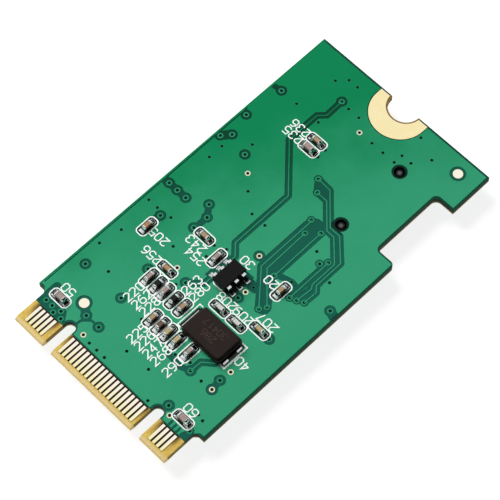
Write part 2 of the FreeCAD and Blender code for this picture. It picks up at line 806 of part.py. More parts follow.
def cut_mouth_notch(body):
    """The shallow notch in the cover's front edge that bares the card's end."""
    depth, width, slant = (size[f"mouth_notch_{name}"] for name in ("depth", "width", "slant"))
    half = width / 2
    pocket(body, "mouth_notch", draw_lines(sketch(body, "mouth_notch_outline"), (
        (mouth_x + slant, -half), (mouth_x, -half), (mouth_x - depth, slant - half),
        (mouth_x - depth, half - slant), (mouth_x, half), (mouth_x + slant, half),
    )))


def cut_tongues(body):
    """Two spring tongues: a slot round three sides of each, and a pressed dimple at its free end."""
    end_x = mouth_x - size["tongue_setback"]
    root_x = end_x - size["tongue_length"]
    half, gap = size["tongue_width"] / 2, size["tongue_gap"]
    radius, depth = size["dimple_radius"], size["dimple_depth"]
    slots = sketch(body, "tongue_slot_outlines")
    for side in (-1, 1):
        y = side * size["tongue_spread"] / 2
        draw_lines(slots, (
            (root_x, y - half - gap), (end_x + gap, y - half - gap),
            (end_x + gap, y + half + gap), (root_x, y + half + gap),
            (root_x, y + half), (end_x, y + half), (end_x, y - half), (root_x, y - half),
        ))
    pocket(body, "tongue_slots", slots)
    for number, side in enumerate((-1, 1), start=1):
        place = (end_x - size["dimple_setback"], side * size["tongue_spread"] / 2)
        draft = size["dimple_draft"]
        primitive(body, "AdditiveCone", f"dimple_{number}", (*place, slot_top - depth),
                  Radius1=radius - draft, Radius2=radius, Height=depth)
        primitive(body, "SubtractiveCone", f"dimple_back_{number}", (*place, shell_height - depth),
                  Radius1=radius - 2 * draft, Radius2=radius - draft, Height=depth)


def contact_y(number):
    """Place of a contact spring across the socket, counted from 1."""
    return size["contact_row_offset"] + size["contact_pitch"] * (number - (CONTACT_COUNT + 1) / 2)


def detect_y():
    """Place of the card-detect spring, beside the housing's left edge."""
    return size["detect_inset"] - housing_half_width


def make_socket_housing():
    """The moulded floor and back wall of the socket, slotted for the springs, with two board pegs."""
    body = new_body("housing_body")
    half = housing_half_width
    floor, back = size["housing_floor"], size["housing_back_wall"]
    front_x = mouth_x - size["housing_front_setback"]
    plate = draw_rectangle(sketch(body, "floor_outline"), socket_rear_x, -half, front_x, half)
    pad(body, "floor", plate, floor)
    slot_half = size["contact_width"] / 2 + size["contact_slot_clearance"]
    slot_end = contact_tip_x + size["contact_slot_lead"]
    for name, y in (("contact", contact_y(1)), ("detect", detect_y())):
        outline = sketch(body, f"{name}_slot_outline")
        draw_rectangle(outline, socket_rear_x - back, y - slot_half, slot_end, y + slot_half)
        slot = pocket(body, f"{name}_slot", outline)
        if name == "contact":
            repeat(body, "contact_slots", slot, "Y_Axis",
                   size["contact_pitch"] * (CONTACT_COUNT - 1), CONTACT_COUNT)
    window = sketch(body, "floor_window_outline")
    high_x, half_window = front_x - size["floor_window_setback"], size["floor_window_width"] / 2
    draw_rectangle(window, high_x - size["floor_window_length"], -half_window, high_x, half_window)
    pocket(body, "floor_window", window)
    wall_height = slot_top - size["housing_clearance"] - floor
    primitive(body, "AdditiveBox", "back_wall", (socket_rear_x, -half, floor),
              Length=back, Width=2 * half, Height=wall_height)
    gap = size["latch_clearance"]
    latch_length = size["shell_window_length"] - 2 * gap
    latch_height = size["shell_window_height"] - 2 * gap
    primitive(body, "AdditiveBox", "latches",
              (latch_x - latch_length / 2, -shell_half_width, size["shell_window_lift"] + gap),
              Length=latch_length, Width=2 * shell_half_width, Height=latch_height)
    radius, tip = size["peg_diameter"] / 2, size["peg_chamfer"]
    for number, side in enumerate((-1, 1), start=1):
        place = (size["peg_x"], side * size["peg_spacing"] / 2)
        primitive(body, "AdditiveCylinder", f"peg_{number}", (*place, tip - size["peg_length"]),
                  Radius=radius, Height=size["peg_length"] - tip)
        primitive(body, "AdditiveCone", f"peg_tip_{number}", (*place, -size["peg_length"]),
                  Radius1=radius - tip, Radius2=radius, Height=tip)
    seat(body, 0, socket_y, LOWER)
    sub_part(body, "socket_housing")


def make_springs():
    """Eight contact springs and the card-detect spring, each one bent strip with a flat solder tail."""
    tail_z = copper + size["contact_sheet"] / 2
    crest_z = size["housing_floor"] + size["contact_rise"]
    path = (
        (socket_rear_x - size["contact_tail"], tail_z),
        (contact_knee_x, tail_z),
        (contact_crest_x, crest_z),
        (contact_tip_x, crest_z - size["contact_drop"]),
    )
    places = {f"contact_{number}": contact_y(number) for number in range(1, CONTACT_COUNT + 1)}
    for name, y in {**places, "detect_spring": detect_y()}.items():
        body = new_body(f"{name}_body")
        formed_strip(body, "strip", path, size["contact_width"], size["contact_sheet"])
        seat(body, 0, socket_y - y, LOWER)
        sub_part(body, name)


def make_controller():
    """A square moulded case with leads on four sides and a dimple that marks the first lead."""
    width, thickness = size["controller_width"], size["controller_thickness"]
    standoff, parting = size["controller_standoff"], size["controller_parting"]
    case, leads = new_body("controller_case"), new_body("controller_lead_body")
    moulded_case(case, width, width, thickness, standoff, parting)
    corner = size["controller_dot_inset"] - width / 2
    dot = sketch(case, "first_lead_dot", lift=standoff + thickness)
    draw_circle(dot, corner, corner, size["controller_dot_radius"])
    pocket(case, "dot", dot, size["controller_dot_depth"])
    gull_wing_row(leads, width / 2, parting, size["controller_lead_reach"],
                  size["controller_lead_width"], size["controller_lead_sheet"],
                  size["controller_lead_pitch"], CONTROLLER_LEADS_A_SIDE)
    turn_whole(leads, "four_sides", 4)
    for piece, name in ((case, "controller_body"), (leads, "controller_leads")):
        seat(piece, size["controller_x"], size["controller_y"], LOWER)
        sub_part(piece, name)


def write_parts():
    """Check every object and shape, then write one file per sub-part."""
    doc.recompute()
    for thing in doc.Objects:
        if {"Invalid", "Error"} & set(thing.State):
            raise RuntimeError(f"{thing.Label} failed: {thing.State}")
    for piece in sub_parts:
        if piece.Shape.isNull() or not piece.Shape.isValid():
            raise RuntimeError(f"{piece.Label} has no valid shape")
    os.makedirs("parts", exist_ok=True)
    for piece in sub_parts:
        piece.Shape.exportStep(f"parts/{piece.Label}.step")
        print(f"{piece.Label}: {len(piece.Shape.Solids)} solids, {piece.Shape.Volume:.4f} mm3")


make_board()
make_edge_fingers()
make_screw_lands()
make_fiducials()
make_chips()
make_solder_lands()
make_regulator()
make_crystal()
make_socket_shell()
make_socket_housing()
make_springs()
make_controller()
write_parts()
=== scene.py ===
# %% [markdown]
# # A memory card adapter board, finished for a close look
# The solids of this board come ready made and in place: laminate, gold contacts, chips, socket and leads.
# What is missing is everything that a bench lamp shows: the green mask with its sunken channels, the
# printed outlines, the plated holes, the solder, and the finish of each surface. We start by loading the
# solids and keep the size of the box round them, because nothing that we add may stand outside it.

# %% Load the fixed frame
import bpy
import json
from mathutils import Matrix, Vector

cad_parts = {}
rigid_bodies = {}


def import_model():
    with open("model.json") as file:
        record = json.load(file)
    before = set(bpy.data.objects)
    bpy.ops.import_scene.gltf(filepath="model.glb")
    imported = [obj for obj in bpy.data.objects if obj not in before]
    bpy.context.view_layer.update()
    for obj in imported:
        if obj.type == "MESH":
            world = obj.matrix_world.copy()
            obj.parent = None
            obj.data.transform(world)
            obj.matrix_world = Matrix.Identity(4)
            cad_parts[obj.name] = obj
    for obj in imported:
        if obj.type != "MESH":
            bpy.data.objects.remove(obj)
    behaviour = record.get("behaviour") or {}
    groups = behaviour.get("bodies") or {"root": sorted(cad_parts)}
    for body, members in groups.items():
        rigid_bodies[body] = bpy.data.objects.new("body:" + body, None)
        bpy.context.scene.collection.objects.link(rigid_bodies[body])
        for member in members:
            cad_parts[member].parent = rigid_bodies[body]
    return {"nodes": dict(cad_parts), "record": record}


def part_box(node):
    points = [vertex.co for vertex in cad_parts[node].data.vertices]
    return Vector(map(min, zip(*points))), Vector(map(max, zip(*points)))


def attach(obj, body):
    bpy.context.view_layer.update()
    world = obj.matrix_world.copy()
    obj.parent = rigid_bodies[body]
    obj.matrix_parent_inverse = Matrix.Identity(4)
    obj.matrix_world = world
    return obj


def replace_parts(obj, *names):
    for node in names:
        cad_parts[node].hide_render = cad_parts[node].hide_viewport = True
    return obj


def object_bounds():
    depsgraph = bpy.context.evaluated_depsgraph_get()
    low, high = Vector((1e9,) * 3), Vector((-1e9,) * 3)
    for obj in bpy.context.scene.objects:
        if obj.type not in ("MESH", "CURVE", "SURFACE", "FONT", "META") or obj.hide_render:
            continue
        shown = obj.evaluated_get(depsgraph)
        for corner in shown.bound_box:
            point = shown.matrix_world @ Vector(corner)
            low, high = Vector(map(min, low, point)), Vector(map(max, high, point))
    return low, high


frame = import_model()
cad_box = [list(corner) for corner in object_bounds()]

import json
import math

import bmesh
import bpy
import numpy as np
from mathutils import Vector

print(f"{len(frame['nodes'])} solids loaded")

# %% [markdown]
# Blender counts in metres, but a board is drawn in millimetres, so every measure below is in millimetres
# and is turned into metres at the last moment. Both faces of the board use the same drawing frame: x runs
# to the right and y to the screw notch as you look straight at that face, and height rises out of it.

# %% Measures that the solids give us
MM = 0.001
UPPER, LOWER = 1, -1


def box_mm(node):
    """Lowest and highest corner of a solid, in millimetres."""
    return [np.array(corner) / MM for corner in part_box(node)]


board_low, board_high = box_mm("circuit_board")
face_height = board_high[2]
copper = box_mm("edge_fingers_upper")[1][2] - face_height
finger_end = box_mm("edge_fingers_upper")[1][1]
print(f"board {board_high - board_low} mm, copper {copper:.3f} mm thick")

# %% [markdown]
# The camera comes first, so that each later step can be judged. The view is from above the mating edge's
# right corner through a long lens, which is how small goods are photographed. The distance and the lens
# belong together: a longer lens from further away would flatten the board's outline.

# %% Camera
CAMERA_TARGET = np.array([0.40, 20.33, 0.40])
CAMERA_AZIMUTH, CAMERA_ELEVATION = math.radians(45.23), math.radians(63.29)
CAMERA_DISTANCE = 198.5
CAMERA_LENS = 152.4


def direction(azimuth, elevation):
    """A unit vector that points from the board to a place on the sky."""
    level = math.cos(elevation)
    return Vector((math.sin(azimuth) * level, -math.cos(azimuth) * level, math.sin(elevation)))


def aim(thing, azimuth, elevation, distance):
    """Stand a camera or lamp at a distance from the board's middle and turn it to look there."""
    towards = direction(azimuth, elevation)
    thing.location = (Vector(CAMERA_TARGET) + towards * distance) * MM
    thing.rotation_euler = towards.to_track_quat("Z", "Y").to_euler()
    bpy.context.scene.collection.objects.link(thing)


camera = bpy.data.objects.new("camera", bpy.data.cameras.new("camera"))
camera.data.lens = CAMERA_LENS
camera.data.clip_start = 1 * MM
aim(camera, CAMERA_AZIMUTH, CAMERA_ELEVATION, CAMERA_DISTANCE)
bpy.context.scene.camera = camera
bpy.context.scene.view_settings.view_transform = "Standard"
print("camera at", [round(value / MM, 1) for value in camera.location])

# %% [markdown]
# Node trees are easier to read as sums than as boxes and wires. This class wraps one socket and lets
# Python's operators stand for Math nodes: `1 - mask` adds a Subtract node and gives back its output.
# `&` and `|` pick the smaller and the larger of two masks. Every other node comes from the `node` method.

# %% A socket that can be calculated with
class Wire:
    """One socket of a node tree, which takes part in sums as a number does."""

    def __init__(self, tree, socket):
        self.tree = tree
        self.socket = socket

    def node(self, kind, settings=None, sockets=None, output=0):
        """Add a node: its settings first, then the values or wires of its sockets."""
        made = self.tree.nodes.new(kind)
        for name, value in (settings or {}).items():
            setattr(made, name, value)
        for name, value in (sockets or {}).items():
            if isinstance(value, Wire):
                self.tree.links.new(value.socket, made.inputs[name])
            else:
                made.inputs[name].default_value = value
        return Wire(self.tree, made.outputs[output])

    def math(self, operation, *values):
        return self.node("ShaderNodeMath", {"operation": operation}, dict(enumerate(values)))

    def __add__(self, other):
        return self.math("ADD", self, other)

    def __sub__(self, other):
        return self.math("SUBTRACT", self, other)

    def __rsub__(self, other):
        return self.math("SUBTRACT", other, self)

    def __mul__(self, other):
        return self.math("MULTIPLY", self, other)

    def __gt__(self, other):
        return self.math("GREATER_THAN", self, other)

    def __lt__(self, other):
        return self.math("LESS_THAN", self, other)

    def __and__(self, other):
        return self.math("MINIMUM", self, other)

    def __or__(self, other):
        return self.math("MAXIMUM", self, other)

    def __abs__(self):
        return self.math("ABSOLUTE", self)

    __radd__, __rmul__ = __add__, __mul__


print("sums of sockets are ready")

# %% [markdown]
# A few nodes return in every finish, so they get short names. Object coordinates are scaled to
# millimetres once, and all patterns then have real sizes: a weave of 0.45 is a weave of 0.45 mm.

# %% Words for the nodes that return
def rgb(red, green, blue):
    """A colour as a screen shows it, 0 to 255, turned into the linear light that shaders use."""
    screen = np.array([red, green, blue]) / 255
    linear = np.where(screen <= 0.04045, screen / 12.92, ((screen + 0.055) / 1.055) ** 2.4)
    return (*linear.tolist(), 1.0)


def mix(factor, first, second):
    """Blend two colours: socket 0 is the factor, sockets 6 and 7 hold the colours."""
    return factor.node("ShaderNodeMix", {"data_type": "RGBA"}, {0: factor, 6: first, 7: second}, 2)


def noise(spot, scale, detail=3.0, roughness=0.55):
    """Cloudy noise from 0 to 1 with about `scale` clouds a millimetre."""
    return spot.node("ShaderNodeTexNoise", {}, {
        "Vector": spot, "Scale": scale, "Detail": detail, "Roughness": roughness})


def stretch(spot, *scale):
    """The same place with each axis scaled, which draws noise out into streaks."""
    return spot.node("ShaderNodeMapping", {}, {"Vector": spot, "Scale": scale})


def ramp(value, low, high):
    """0 below low, 1 above high and a smooth rise between them."""
    return value.node("ShaderNodeMapRange", {"interpolation_type": "SMOOTHSTEP"}, {
        "Value": value, "From Min": low, "From Max": high})


def axes(spot):
    """The x, y and z of a place as three wires."""
    first = spot.node("ShaderNodeSeparateXYZ", {}, {"Vector": spot})
    return [Wire(spot.tree, socket) for socket in first.socket.node.outputs]


def new_finish(name, **constants):
    """A material whose constant sockets are set, with the place on the piece in millimetres."""
    material = bpy.data.materials.new(name)
    material.use_nodes = True
    shader = material.node_tree.nodes["Principled BSDF"]
    for socket, value in constants.items():
        shader.inputs[socket.replace("_", " ")].default_value = value
    place = material.node_tree.nodes.new("ShaderNodeTexCoord").outputs["Object"]
    return material, stretch(Wire(material.node_tree, place), *[1 / MM] * 3)


def connect(material, **wires):
    """Feed wires to the shader's sockets; `relief` is a height in millimetres that becomes bump."""
    shader = material.node_tree.nodes["Principled BSDF"]
    if "relief" in wires:
        height = wires.pop("relief")
        wires["Normal"] = height.node("ShaderNodeBump", {}, {
            "Height": height, "Distance": MM, "Strength": 1.0})
    for socket, wire in wires.items():
        material.node_tree.links.new(wire.socket, shader.inputs[socket.replace("_", " ")])
    return material


def dress(node, material):
    """Give a solid its finish in place of the plain one."""
    materials = frame["nodes"][node].data.materials
    materials.clear()
    materials.append(material)


print("finishes can be mixed")

# %% [markdown]
# The board stands over a pale floor that is plain white to look at, apart from the board's shadow. A matt
# sheet would do for the upper face, but the lower one would be black. So the floor glows a little, as a
# light table does, and lets a camera below it see through.

# %% Floor
FLOOR_REACH = 3000.0
FLOOR_GLOW, FLOOR_LIGHT = 0.84, 0.55


def ray_kinds(start):
    """Two masks: rays from the camera, and rays from a mirror-like surface or through glass."""
    path = start.node("ShaderNodeLightPath").socket.node.outputs
    camera_ray, glossy, through = [Wire(start.tree, path[f"Is {name} Ray"])
                                   for name in ("Camera", "Glossy", "Transmission")]
    return camera_ray, glossy | through


def make_floor():
    """A wide square under the lowest point: its four corners are a grid of two by two."""
    level = cad_box[0][2]
    reach = FLOOR_REACH * MM
    mesh = bpy.data.meshes.new("floor")
    mesh.from_pydata([(-reach, -reach, level), (reach, -reach, level), (reach, reach, level),
                      (-reach, reach, level)], [], [(0, 1, 2, 3)])
    floor = bpy.data.objects.new("floor", mesh)
    bpy.context.scene.collection.objects.link(floor)
    material, spot = new_finish("pale_floor", Base_Color=rgb(226, 226, 226), Roughness=0.9)
    mesh.materials.append(material)
    tree = material.node_tree
    surface = Wire(tree, tree.nodes["Principled BSDF"].outputs[0])
    dim = spot.node("ShaderNodeBsdfDiffuse", {}, {"Color": rgb(148, 148, 148)})
    plain, white = [spot.node("ShaderNodeAddShader", {}, {
        0: base, 1: spot.node("ShaderNodeEmission", {}, {"Color": (1, 1, 1, 1), "Strength": strength})})
        for base, strength in ((surface, FLOOR_LIGHT), (dim, FLOOR_GLOW))]
    camera_ray, mirrored = ray_kinds(spot)
    lit = spot.node("ShaderNodeMixShader", {}, {0: camera_ray | mirrored, 1: plain, 2: white})
    under = Wire(tree, tree.nodes.new("ShaderNodeNewGeometry").outputs["Backfacing"])
    clear = spot.node("ShaderNodeBsdfTransparent")
    both = spot.node("ShaderNodeMixShader", {}, {0: under, 1: lit, 2: clear})
    tree.links.new(both.socket, tree.nodes["Material Output"].inputs["Surface"])


make_floor()
print(f"floor lies at {cad_box[0][2] / MM:.2f} mm")

# %% [markdown]
# One large soft lamp stands beyond the board's left edge, and a weak sky opens the shadows. The sky has a
# bright field high up behind the lamp, a small one on the camera's side and a bright rim. It is half
# bright above the rim, dark overhead and in one gap on the right, so solder has black flanks. Metal mirrors
# that sky but not the lamp itself, which would burn out.

# %% Sky and lamp
SKY_LIGHT, SKY_DIMMEST, SKY_HALF = 0.28, 0.04, 0.4
SKY_RIM, SKY_BELT = (0.22, 0.31), (0.50, 0.68)
BRIGHT_FIELDS = (-122, 61, 0.70, 0.92), (45, 22, 0.80, 0.95)
DARK_GAP = (107, 16, 0.88, 0.96)
LAMP_AZIMUTH, LAMP_ELEVATION = math.radians(-95), math.radians(42)
LAMP_DISTANCE, LAMP_WIDTH, LAMP_POWER = 520, 330, 4.1


def sky_field(way, azimuth, elevation, low, high):
    """A round field of the sky: the cosine of the angle to its middle, from 0 at low to 1 at high."""
    middle = direction(math.radians(azimuth), math.radians(elevation))
    return ramp(way.node("ShaderNodeVectorMath", {"operation": "DOT_PRODUCT"}, {0: way, 1: middle}, "Value"),
                low, high)


def make_sky():
    """A sky that is white to look at, and that lights and mirrors brightest in two fields and its rim."""
    world = bpy.data.worlds.new("studio")
    world.use_nodes = True
    bpy.context.scene.world = world
    tree = world.node_tree
    background = tree.nodes["Background"]
    background.inputs["Color"].default_value = (1, 1, 1, 1)
    way = Wire(tree, tree.nodes.new("ShaderNodeTexCoord").outputs["Generated"])
    height = axes(way)[2]
    bright = (1 - ramp(height, *SKY_RIM)) | SKY_HALF * (1 - ramp(height, *SKY_BELT))
    for field in BRIGHT_FIELDS:
        bright = bright | sky_field(way, *field)
    fall = (SKY_DIMMEST + (1 - SKY_DIMMEST) * bright) * (1 - sky_field(way, *DARK_GAP))
    camera_ray, mirrored = ray_kinds(way)
    strength = camera_ray | fall * (SKY_LIGHT + (1 - SKY_LIGHT) * mirrored)
    tree.links.new(strength.socket, background.inputs["Strength"])


def make_lamp(name):
    """A square soft lamp that looks at the board and that metal doesn't mirror."""
    lamp = bpy.data.objects.new(name, bpy.data.lights.new(name, "AREA"))
    lamp.data.size = LAMP_WIDTH * MM
    lamp.data.energy = LAMP_POWER
    lamp.visible_glossy = False
    aim(lamp, LAMP_AZIMUTH, LAMP_ELEVATION, LAMP_DISTANCE)


make_sky()
make_lamp("left_softbox")
print("studio is lit")

# %% [markdown]
# The laminate is one solid, but it shows three surfaces. Both faces wear green mask down to the contacts.
# On the rims, where no copper lies under it, the mask is painted darker as shade, and along the far left
# edge it is painted brighter as a highlight. The tab below that line is bare, and the yellow glass cloth
# shows its weave; beside the contacts it darkens towards the mask, and between them it is painted dark
# brown as shade. The long edges are routed and painted dark at the top as shade, the tab's sides are
# brown and its front is painted pale as if lit, and the wall of the screw notch is plated. It could be
# three solids with one finish each, but where a point lies already tells which surface it belongs to.

# %% Zones of the laminate
MASK_END = finger_end + 0.14
FINGER_START = 0.5
FINGER_FIELDS = ((-8.0, 1.18, 1.43), (0.25, 4.93, 4.68), (8.25, 0.93, 1.18))
NOTCH_FROM, NOTCH_HALF = 40.0, 2.0
LEFT_STRIP, RIGHT_STRIP, FAR_STRIP = -10.80, 10.70, 41.70
CUTOUT_LOW, CUTOUT_HIGH = (8.8, 28.85), (12.0, 36.95)
CUTOUT_RIM, CUTOUT_ENDS = 0.25, 0.35
PEG_X, PEG_MIDDLE, PEG_APART, PEG_SHADE = 4.55, 32.34, 4.02, 0.80
FEET_SHADE = 0.65
SHEEN_SLOPE, SHEEN_FROM, SHEEN_TO = 0.04, 1.1, 2.5


def beside_fingers(x, z):
    """How far a place lies outside the three groups of contacts, which differ above and below."""
    outside = [abs(x - middle) - (above + (below - above) * (z < 0))
               for middle, above, below in FINGER_FIELDS]
    return outside[0] & outside[1] & outside[2]


def sheen_falloff(spot, x, y):
    """Where the painted sheen falls off and the green deepens.

    A slope towards the far left edge, broken up by slow clouds.
    """
    return ramp(SHEEN_SLOPE * (y - 2 * x) + noise(spot, 0.22), SHEEN_FROM, SHEEN_TO)


def shaded_bare_rims(x, y):
    """Strips along the far and the right edge and round the cut-out, with no copper under the mask.

    They are painted darker, as shade.
    """
    beside = (y > CUTOUT_LOW[1] - CUTOUT_ENDS) & (y < CUTOUT_HIGH[1] + CUTOUT_ENDS)
    return (y > FAR_STRIP) | (x > RIGHT_STRIP) | (beside & (x > CUTOUT_LOW[0] - CUTOUT_RIM))


def deep_shade(x, y):
    """Where little light gets in: round the two pegs, and between the regulator's feet on the right."""
    pegs = (abs(x - PEG_X) < PEG_SHADE) & (abs(abs(y - PEG_MIDDLE) - PEG_APART) < PEG_SHADE)
    low, high = box_mm("regulator_leads")
    feet = (abs(x - high[0] + FEET_SHADE / 2) < FEET_SHADE / 2) & (y > low[1]) & (y < high[1])
    return pegs | feet


def notch_wall(x, y):
    """The surroundings of the screw notch, where only its wall is laminate that shows."""
    return (y > NOTCH_FROM) & (abs(x) < NOTCH_HALF)


print(f"mask ends {MASK_END:.2f} mm from the mating edge")

# %% [markdown]
# With the zones known, each gets its colour. Mask is mixed from the widest zone to the narrowest, so that
# the later ones lie on top. The threads of the cloth cross as two waves do, and raise the surface a little.

# %% Mask, bare laminate and cut edges
WEAVE_PITCH = 0.46
FACE_SKIN, FRONT_EDGE, DARKEN_REACH = 0.0008, 0.5, 0.6


def wave(distance):
    """A sine wave that repeats with the threads of the cloth."""
    return distance.math("SINE", distance * (2 * math.pi / WEAVE_PITCH))


def edge_colour(spot, x, y, z):
    """Routed edges: olive glass, painted dark at the top as shade, and brown on the tab.

    The tab's front is painted pale, as if lit. The wall of the screw notch is plated, and shows as worn gold.
    """
    streaks = noise(stretch(spot, 6, 6, 30), 1.0)
    plies = ramp(abs(abs(z) - 0.2), 0.015, 0.05)
    # Painted light and shade: the tab's front is made pale as if lit, the long edges dark at the top as
    # shade.
    pale = mix(plies & streaks, rgb(210, 178, 102), rgb(246, 226, 170))
    olive = mix(plies & streaks, rgb(112, 102, 46), rgb(188, 174, 100))
    shade_and_stain = mix(y < MASK_END, rgb(20, 40, 30), rgb(140, 118, 60))
    routed = mix(ramp(z + 0.3 * streaks, -0.12, 0.06), olive, shade_and_stain)
    plated = mix(streaks, rgb(86, 64, 30), rgb(160, 128, 66))
    return mix(notch_wall(x, y), mix(y < FRONT_EDGE, routed, pale), plated)


def laminate_finish():
    """Mask on the faces, cloth on the bare tab; the threads are two crossing sine waves multiplied."""
    material, spot = new_finish("mask_and_laminate", Specular_IOR_Level=0.12)
    x, y, z = axes(spot)
    grain = noise(spot, 9.0)
    threads = wave(x) * wave(y)
    on_face = (abs(z) > face_height - FACE_SKIN) & (1 - notch_wall(x, y))
    masked = on_face & (y > MASK_END)
    mask_colour = mix(noise(spot, 0.35), rgb(14, 80, 66), rgb(24, 94, 77))
    # Layers on the mask: the painted sheen's falloff, rims painted darker as shade, painted shade round the
    # pegs and the regulator's feet, and a bright strip along the far left edge, a painted highlight.
    for where, tone in ((sheen_falloff(spot, x, y), (2, 60, 40)), (shaded_bare_rims(x, y), (10, 62, 48)),
                        (deep_shade(x, y), (6, 38, 30)), (x < LEFT_STRIP, (6, 128, 78))):
        mask_colour = mix(where, mask_colour, rgb(*tone))
    cloth = mix(ramp(0.2 * threads + 3 * noise(spot, 2.2), 0.2, 2.8), rgb(198, 160, 70), rgb(226, 198, 110))
    beside = beside_fingers(x, z)
    # Beside the contacts the cloth darkens towards the mask; between the contacts it is painted dark brown,
    # as shade.
    darker_to_mask = (1 - ramp(beside, 0.0, DARKEN_REACH)) * ramp(y, 0.6, MASK_END)
    shade_painted = mix((beside < 0) & (y > FINGER_START), mix(darker_to_mask, cloth, rgb(72, 46, 14)), rgb(38, 26, 13))
    colour = mix(masked, mix(on_face, edge_colour(spot, x, y, z), shade_painted), mask_colour)
    roughness = 0.62 - 0.24 * masked + 0.10 * grain
    return connect(material, Base_Color=colour, Roughness=roughness, relief=0.002 * threads + 0.004 * grain)


dress("circuit_board", laminate_finish())
print("laminate has its three surfaces")

# %% [markdown]
# Metals differ mostly in colour and in how fine their scratches are. Gold on the contacts is thin and
# soft, so it keeps long wiping marks along the way in and is yellower at the front; along its sides it is
# painted dark, as shade. Tin and solder are whiter, with patches where the melt set at different speeds,
# and in places they are painted black, as shade and dark reflection. Sheet steel keeps the grain of its
# rolling. One function makes all plain metals but the steel, whose bands need a noise of their own.

# %% Plain metals
def metal_finish(name, dull, bright, patch_scale, streaks, rough, relief):
    """Two noises: patches mix the colours, and streaks roughen by rough[0] + rough[1] times their value.

    The relief is the streaks' height and the patches' height.
    """
    material, spot = new_finish(name, Metallic=1.0)
    patches = noise(spot, patch_scale)
    grain = noise(stretch(spot, *streaks), 1.0)
    return connect(material, Base_Color=mix(patches, rgb(*dull), rgb(*bright)),
                   Roughness=rough[0] + rough[1] * grain, relief=relief[0] * grain + relief[1] * patches)


def steel_finish():
    """Sheet steel: fine rolling lines along x, in broad bands of two tones."""
    material, spot = new_finish("rolled_steel", Metallic=1.0)
    rolling = noise(stretch(spot, 0.5, 26, 26), 1.0)
    bands = noise(stretch(spot, 0.12, 5, 5), 1.0)
    colour = mix(ramp(bands + 0.6 * rolling, 0.5, 1.1), rgb(150, 150, 147), rgb(204, 204, 201))
    return connect(material, Base_Color=colour, Roughness=0.22 + 0.20 * rolling, relief=0.0016 * rolling)


WIPED = 1.6, (30, 1.2, 30), (0.16, 0.16), (0.0012, 0.002)
PLATED = 2.5, (14, 14, 14), (0.14, 0.14), (0.001, 0.0)
SET = 5.0, (5, 5, 5), (0.05, 0.10), (0.004, 0.0)
ROLLED = 1.5, (2, 30, 30), (0.22, 0.18), (0.0012, 0.0)
mark_gold = metal_finish("mark_gold", (250, 242, 214), (255, 249, 232), *WIPED)
land_gold = metal_finish("land_gold", (248, 230, 170), (254, 240, 194), *WIPED)
tin = metal_finish("plated_tin", (180, 182, 184), (232, 233, 233), *PLATED)
# Tin painted nearly black, as shade and dark reflection, for the crystal's terminals and land strips.
shaded_tin = metal_finish("painted_shade_tin", (26, 25, 24), (58, 56, 54), *PLATED)
solder = metal_finish("set_solder", (150, 153, 157), (236, 237, 238), *SET)
spring_alloy = metal_finish("spring_alloy", (206, 170, 92), (238, 206, 128), *ROLLED)
steel = steel_finish()
print("seven plain metals are ready")

# %% [markdown]
# Three metals change along the piece. Contacts pale away from the mating edge and are painted dark along
# their sides, as shade. The regulator's feet on the right and the lower part of each chip's ends are
# painted black, as shade and dark reflection, and the toes of the chips' solder that face the mating edge
# are matt and painted white, as a highlight. Painting each piece apart would take many materials. The
# place on the board tells all of it in one.

# %% Metals that change along the piece
PAD_PITCH = 0.5
SHADE_FROM_MIDDLE = (0.13, 0.17)
LEAD_FOOT = (0.30, 0.50)
MATT_SLOPE, MATT_RISE = (-0.45, -0.20), (0.17, 0.23)


def rise_of(spot):
    """How high a place stands above the nearer face of the board."""
    return abs(axes(spot)[2]) - face_height


def contact_finish():
    """Gold that pales away from the front, painted dark along its sides as shade.

    The distance to a contact's middle line tells where the sides are.
    """
    material, spot = new_finish("contact_gold", Metallic=1.0)
    x, y, z = axes(spot)
    lane = x * (1 / PAD_PITCH) + 0.5 + 0.5 * (z < 0)
    aside = abs(lane.math("FRACT", lane) - 0.5) * PAD_PITCH
    wiping = noise(stretch(spot, 30, 1.2, 30), 1.0)
    pale = mix(ramp(y + wiping, 0.6, 2.8), rgb(250, 240, 180), rgb(255, 247, 230))
    # Painted shade along each contact's sides.
    colour = mix(ramp(aside, *SHADE_FROM_MIDDLE), pale, rgb(56, 42, 24))
    return connect(material, Base_Color=colour, Roughness=0.16 + 0.16 * wiping, relief=0.0012 * wiping)


def lead_finish():
    """The regulator's leads: bright tin.

    Their feet on the right are painted black, as shade and dark reflection.
    """
    material, spot = new_finish("lead_tin", Metallic=1.0)
    low, high = box_mm("regulator_leads")
    # Painted shade and dark reflection on the low feet of the right side.
    shade_painted = (1 - ramp(rise_of(spot), *LEAD_FOOT)) & (axes(spot)[0] > (low + high)[0] / 2)
    grains = noise(spot, 14.0)
    colour = mix(shade_painted, mix(grains, rgb(190, 190, 191), rgb(244, 244, 245)), rgb(16, 16, 16))
    return connect(material, Base_Color=colour, Roughness=0.14 + 0.14 * grains, relief=0.001 * grains)


def end_finish():
    """Solder on a chip's end: painted bright on top and dark further down, as highlight and shade.

    Patches streak it. The toes that face the mating edge are nearly non-metallic and painted white, as a
    highlight.
    """
    material, spot = new_finish("chip_end_solder")
    patches = noise(spot, 5.0)
    slope = axes(spot.node("ShaderNodeNewGeometry", output="Normal"))[1]
    rise = rise_of(spot)
    # Painted highlight on the toes that face the mating edge; painted shade low down on the ends.
    lit_toe = (1 - ramp(slope, *MATT_SLOPE)) & (1 - ramp(rise, *MATT_RISE))
    bright = ramp(patches + 0.6 * rise + 0.4 * lit_toe, 0.60, 0.78)
    return connect(material, Base_Color=mix(bright, rgb(34, 34, 36), rgb(242, 243, 244)),
                   Metallic=1 - 0.85 * lit_toe, Roughness=0.05 + 0.10 * patches, relief=0.004 * patches)


contact_gold, lead_tin, end_solder = contact_finish(), lead_finish(), end_finish()
print("three more metals are ready")

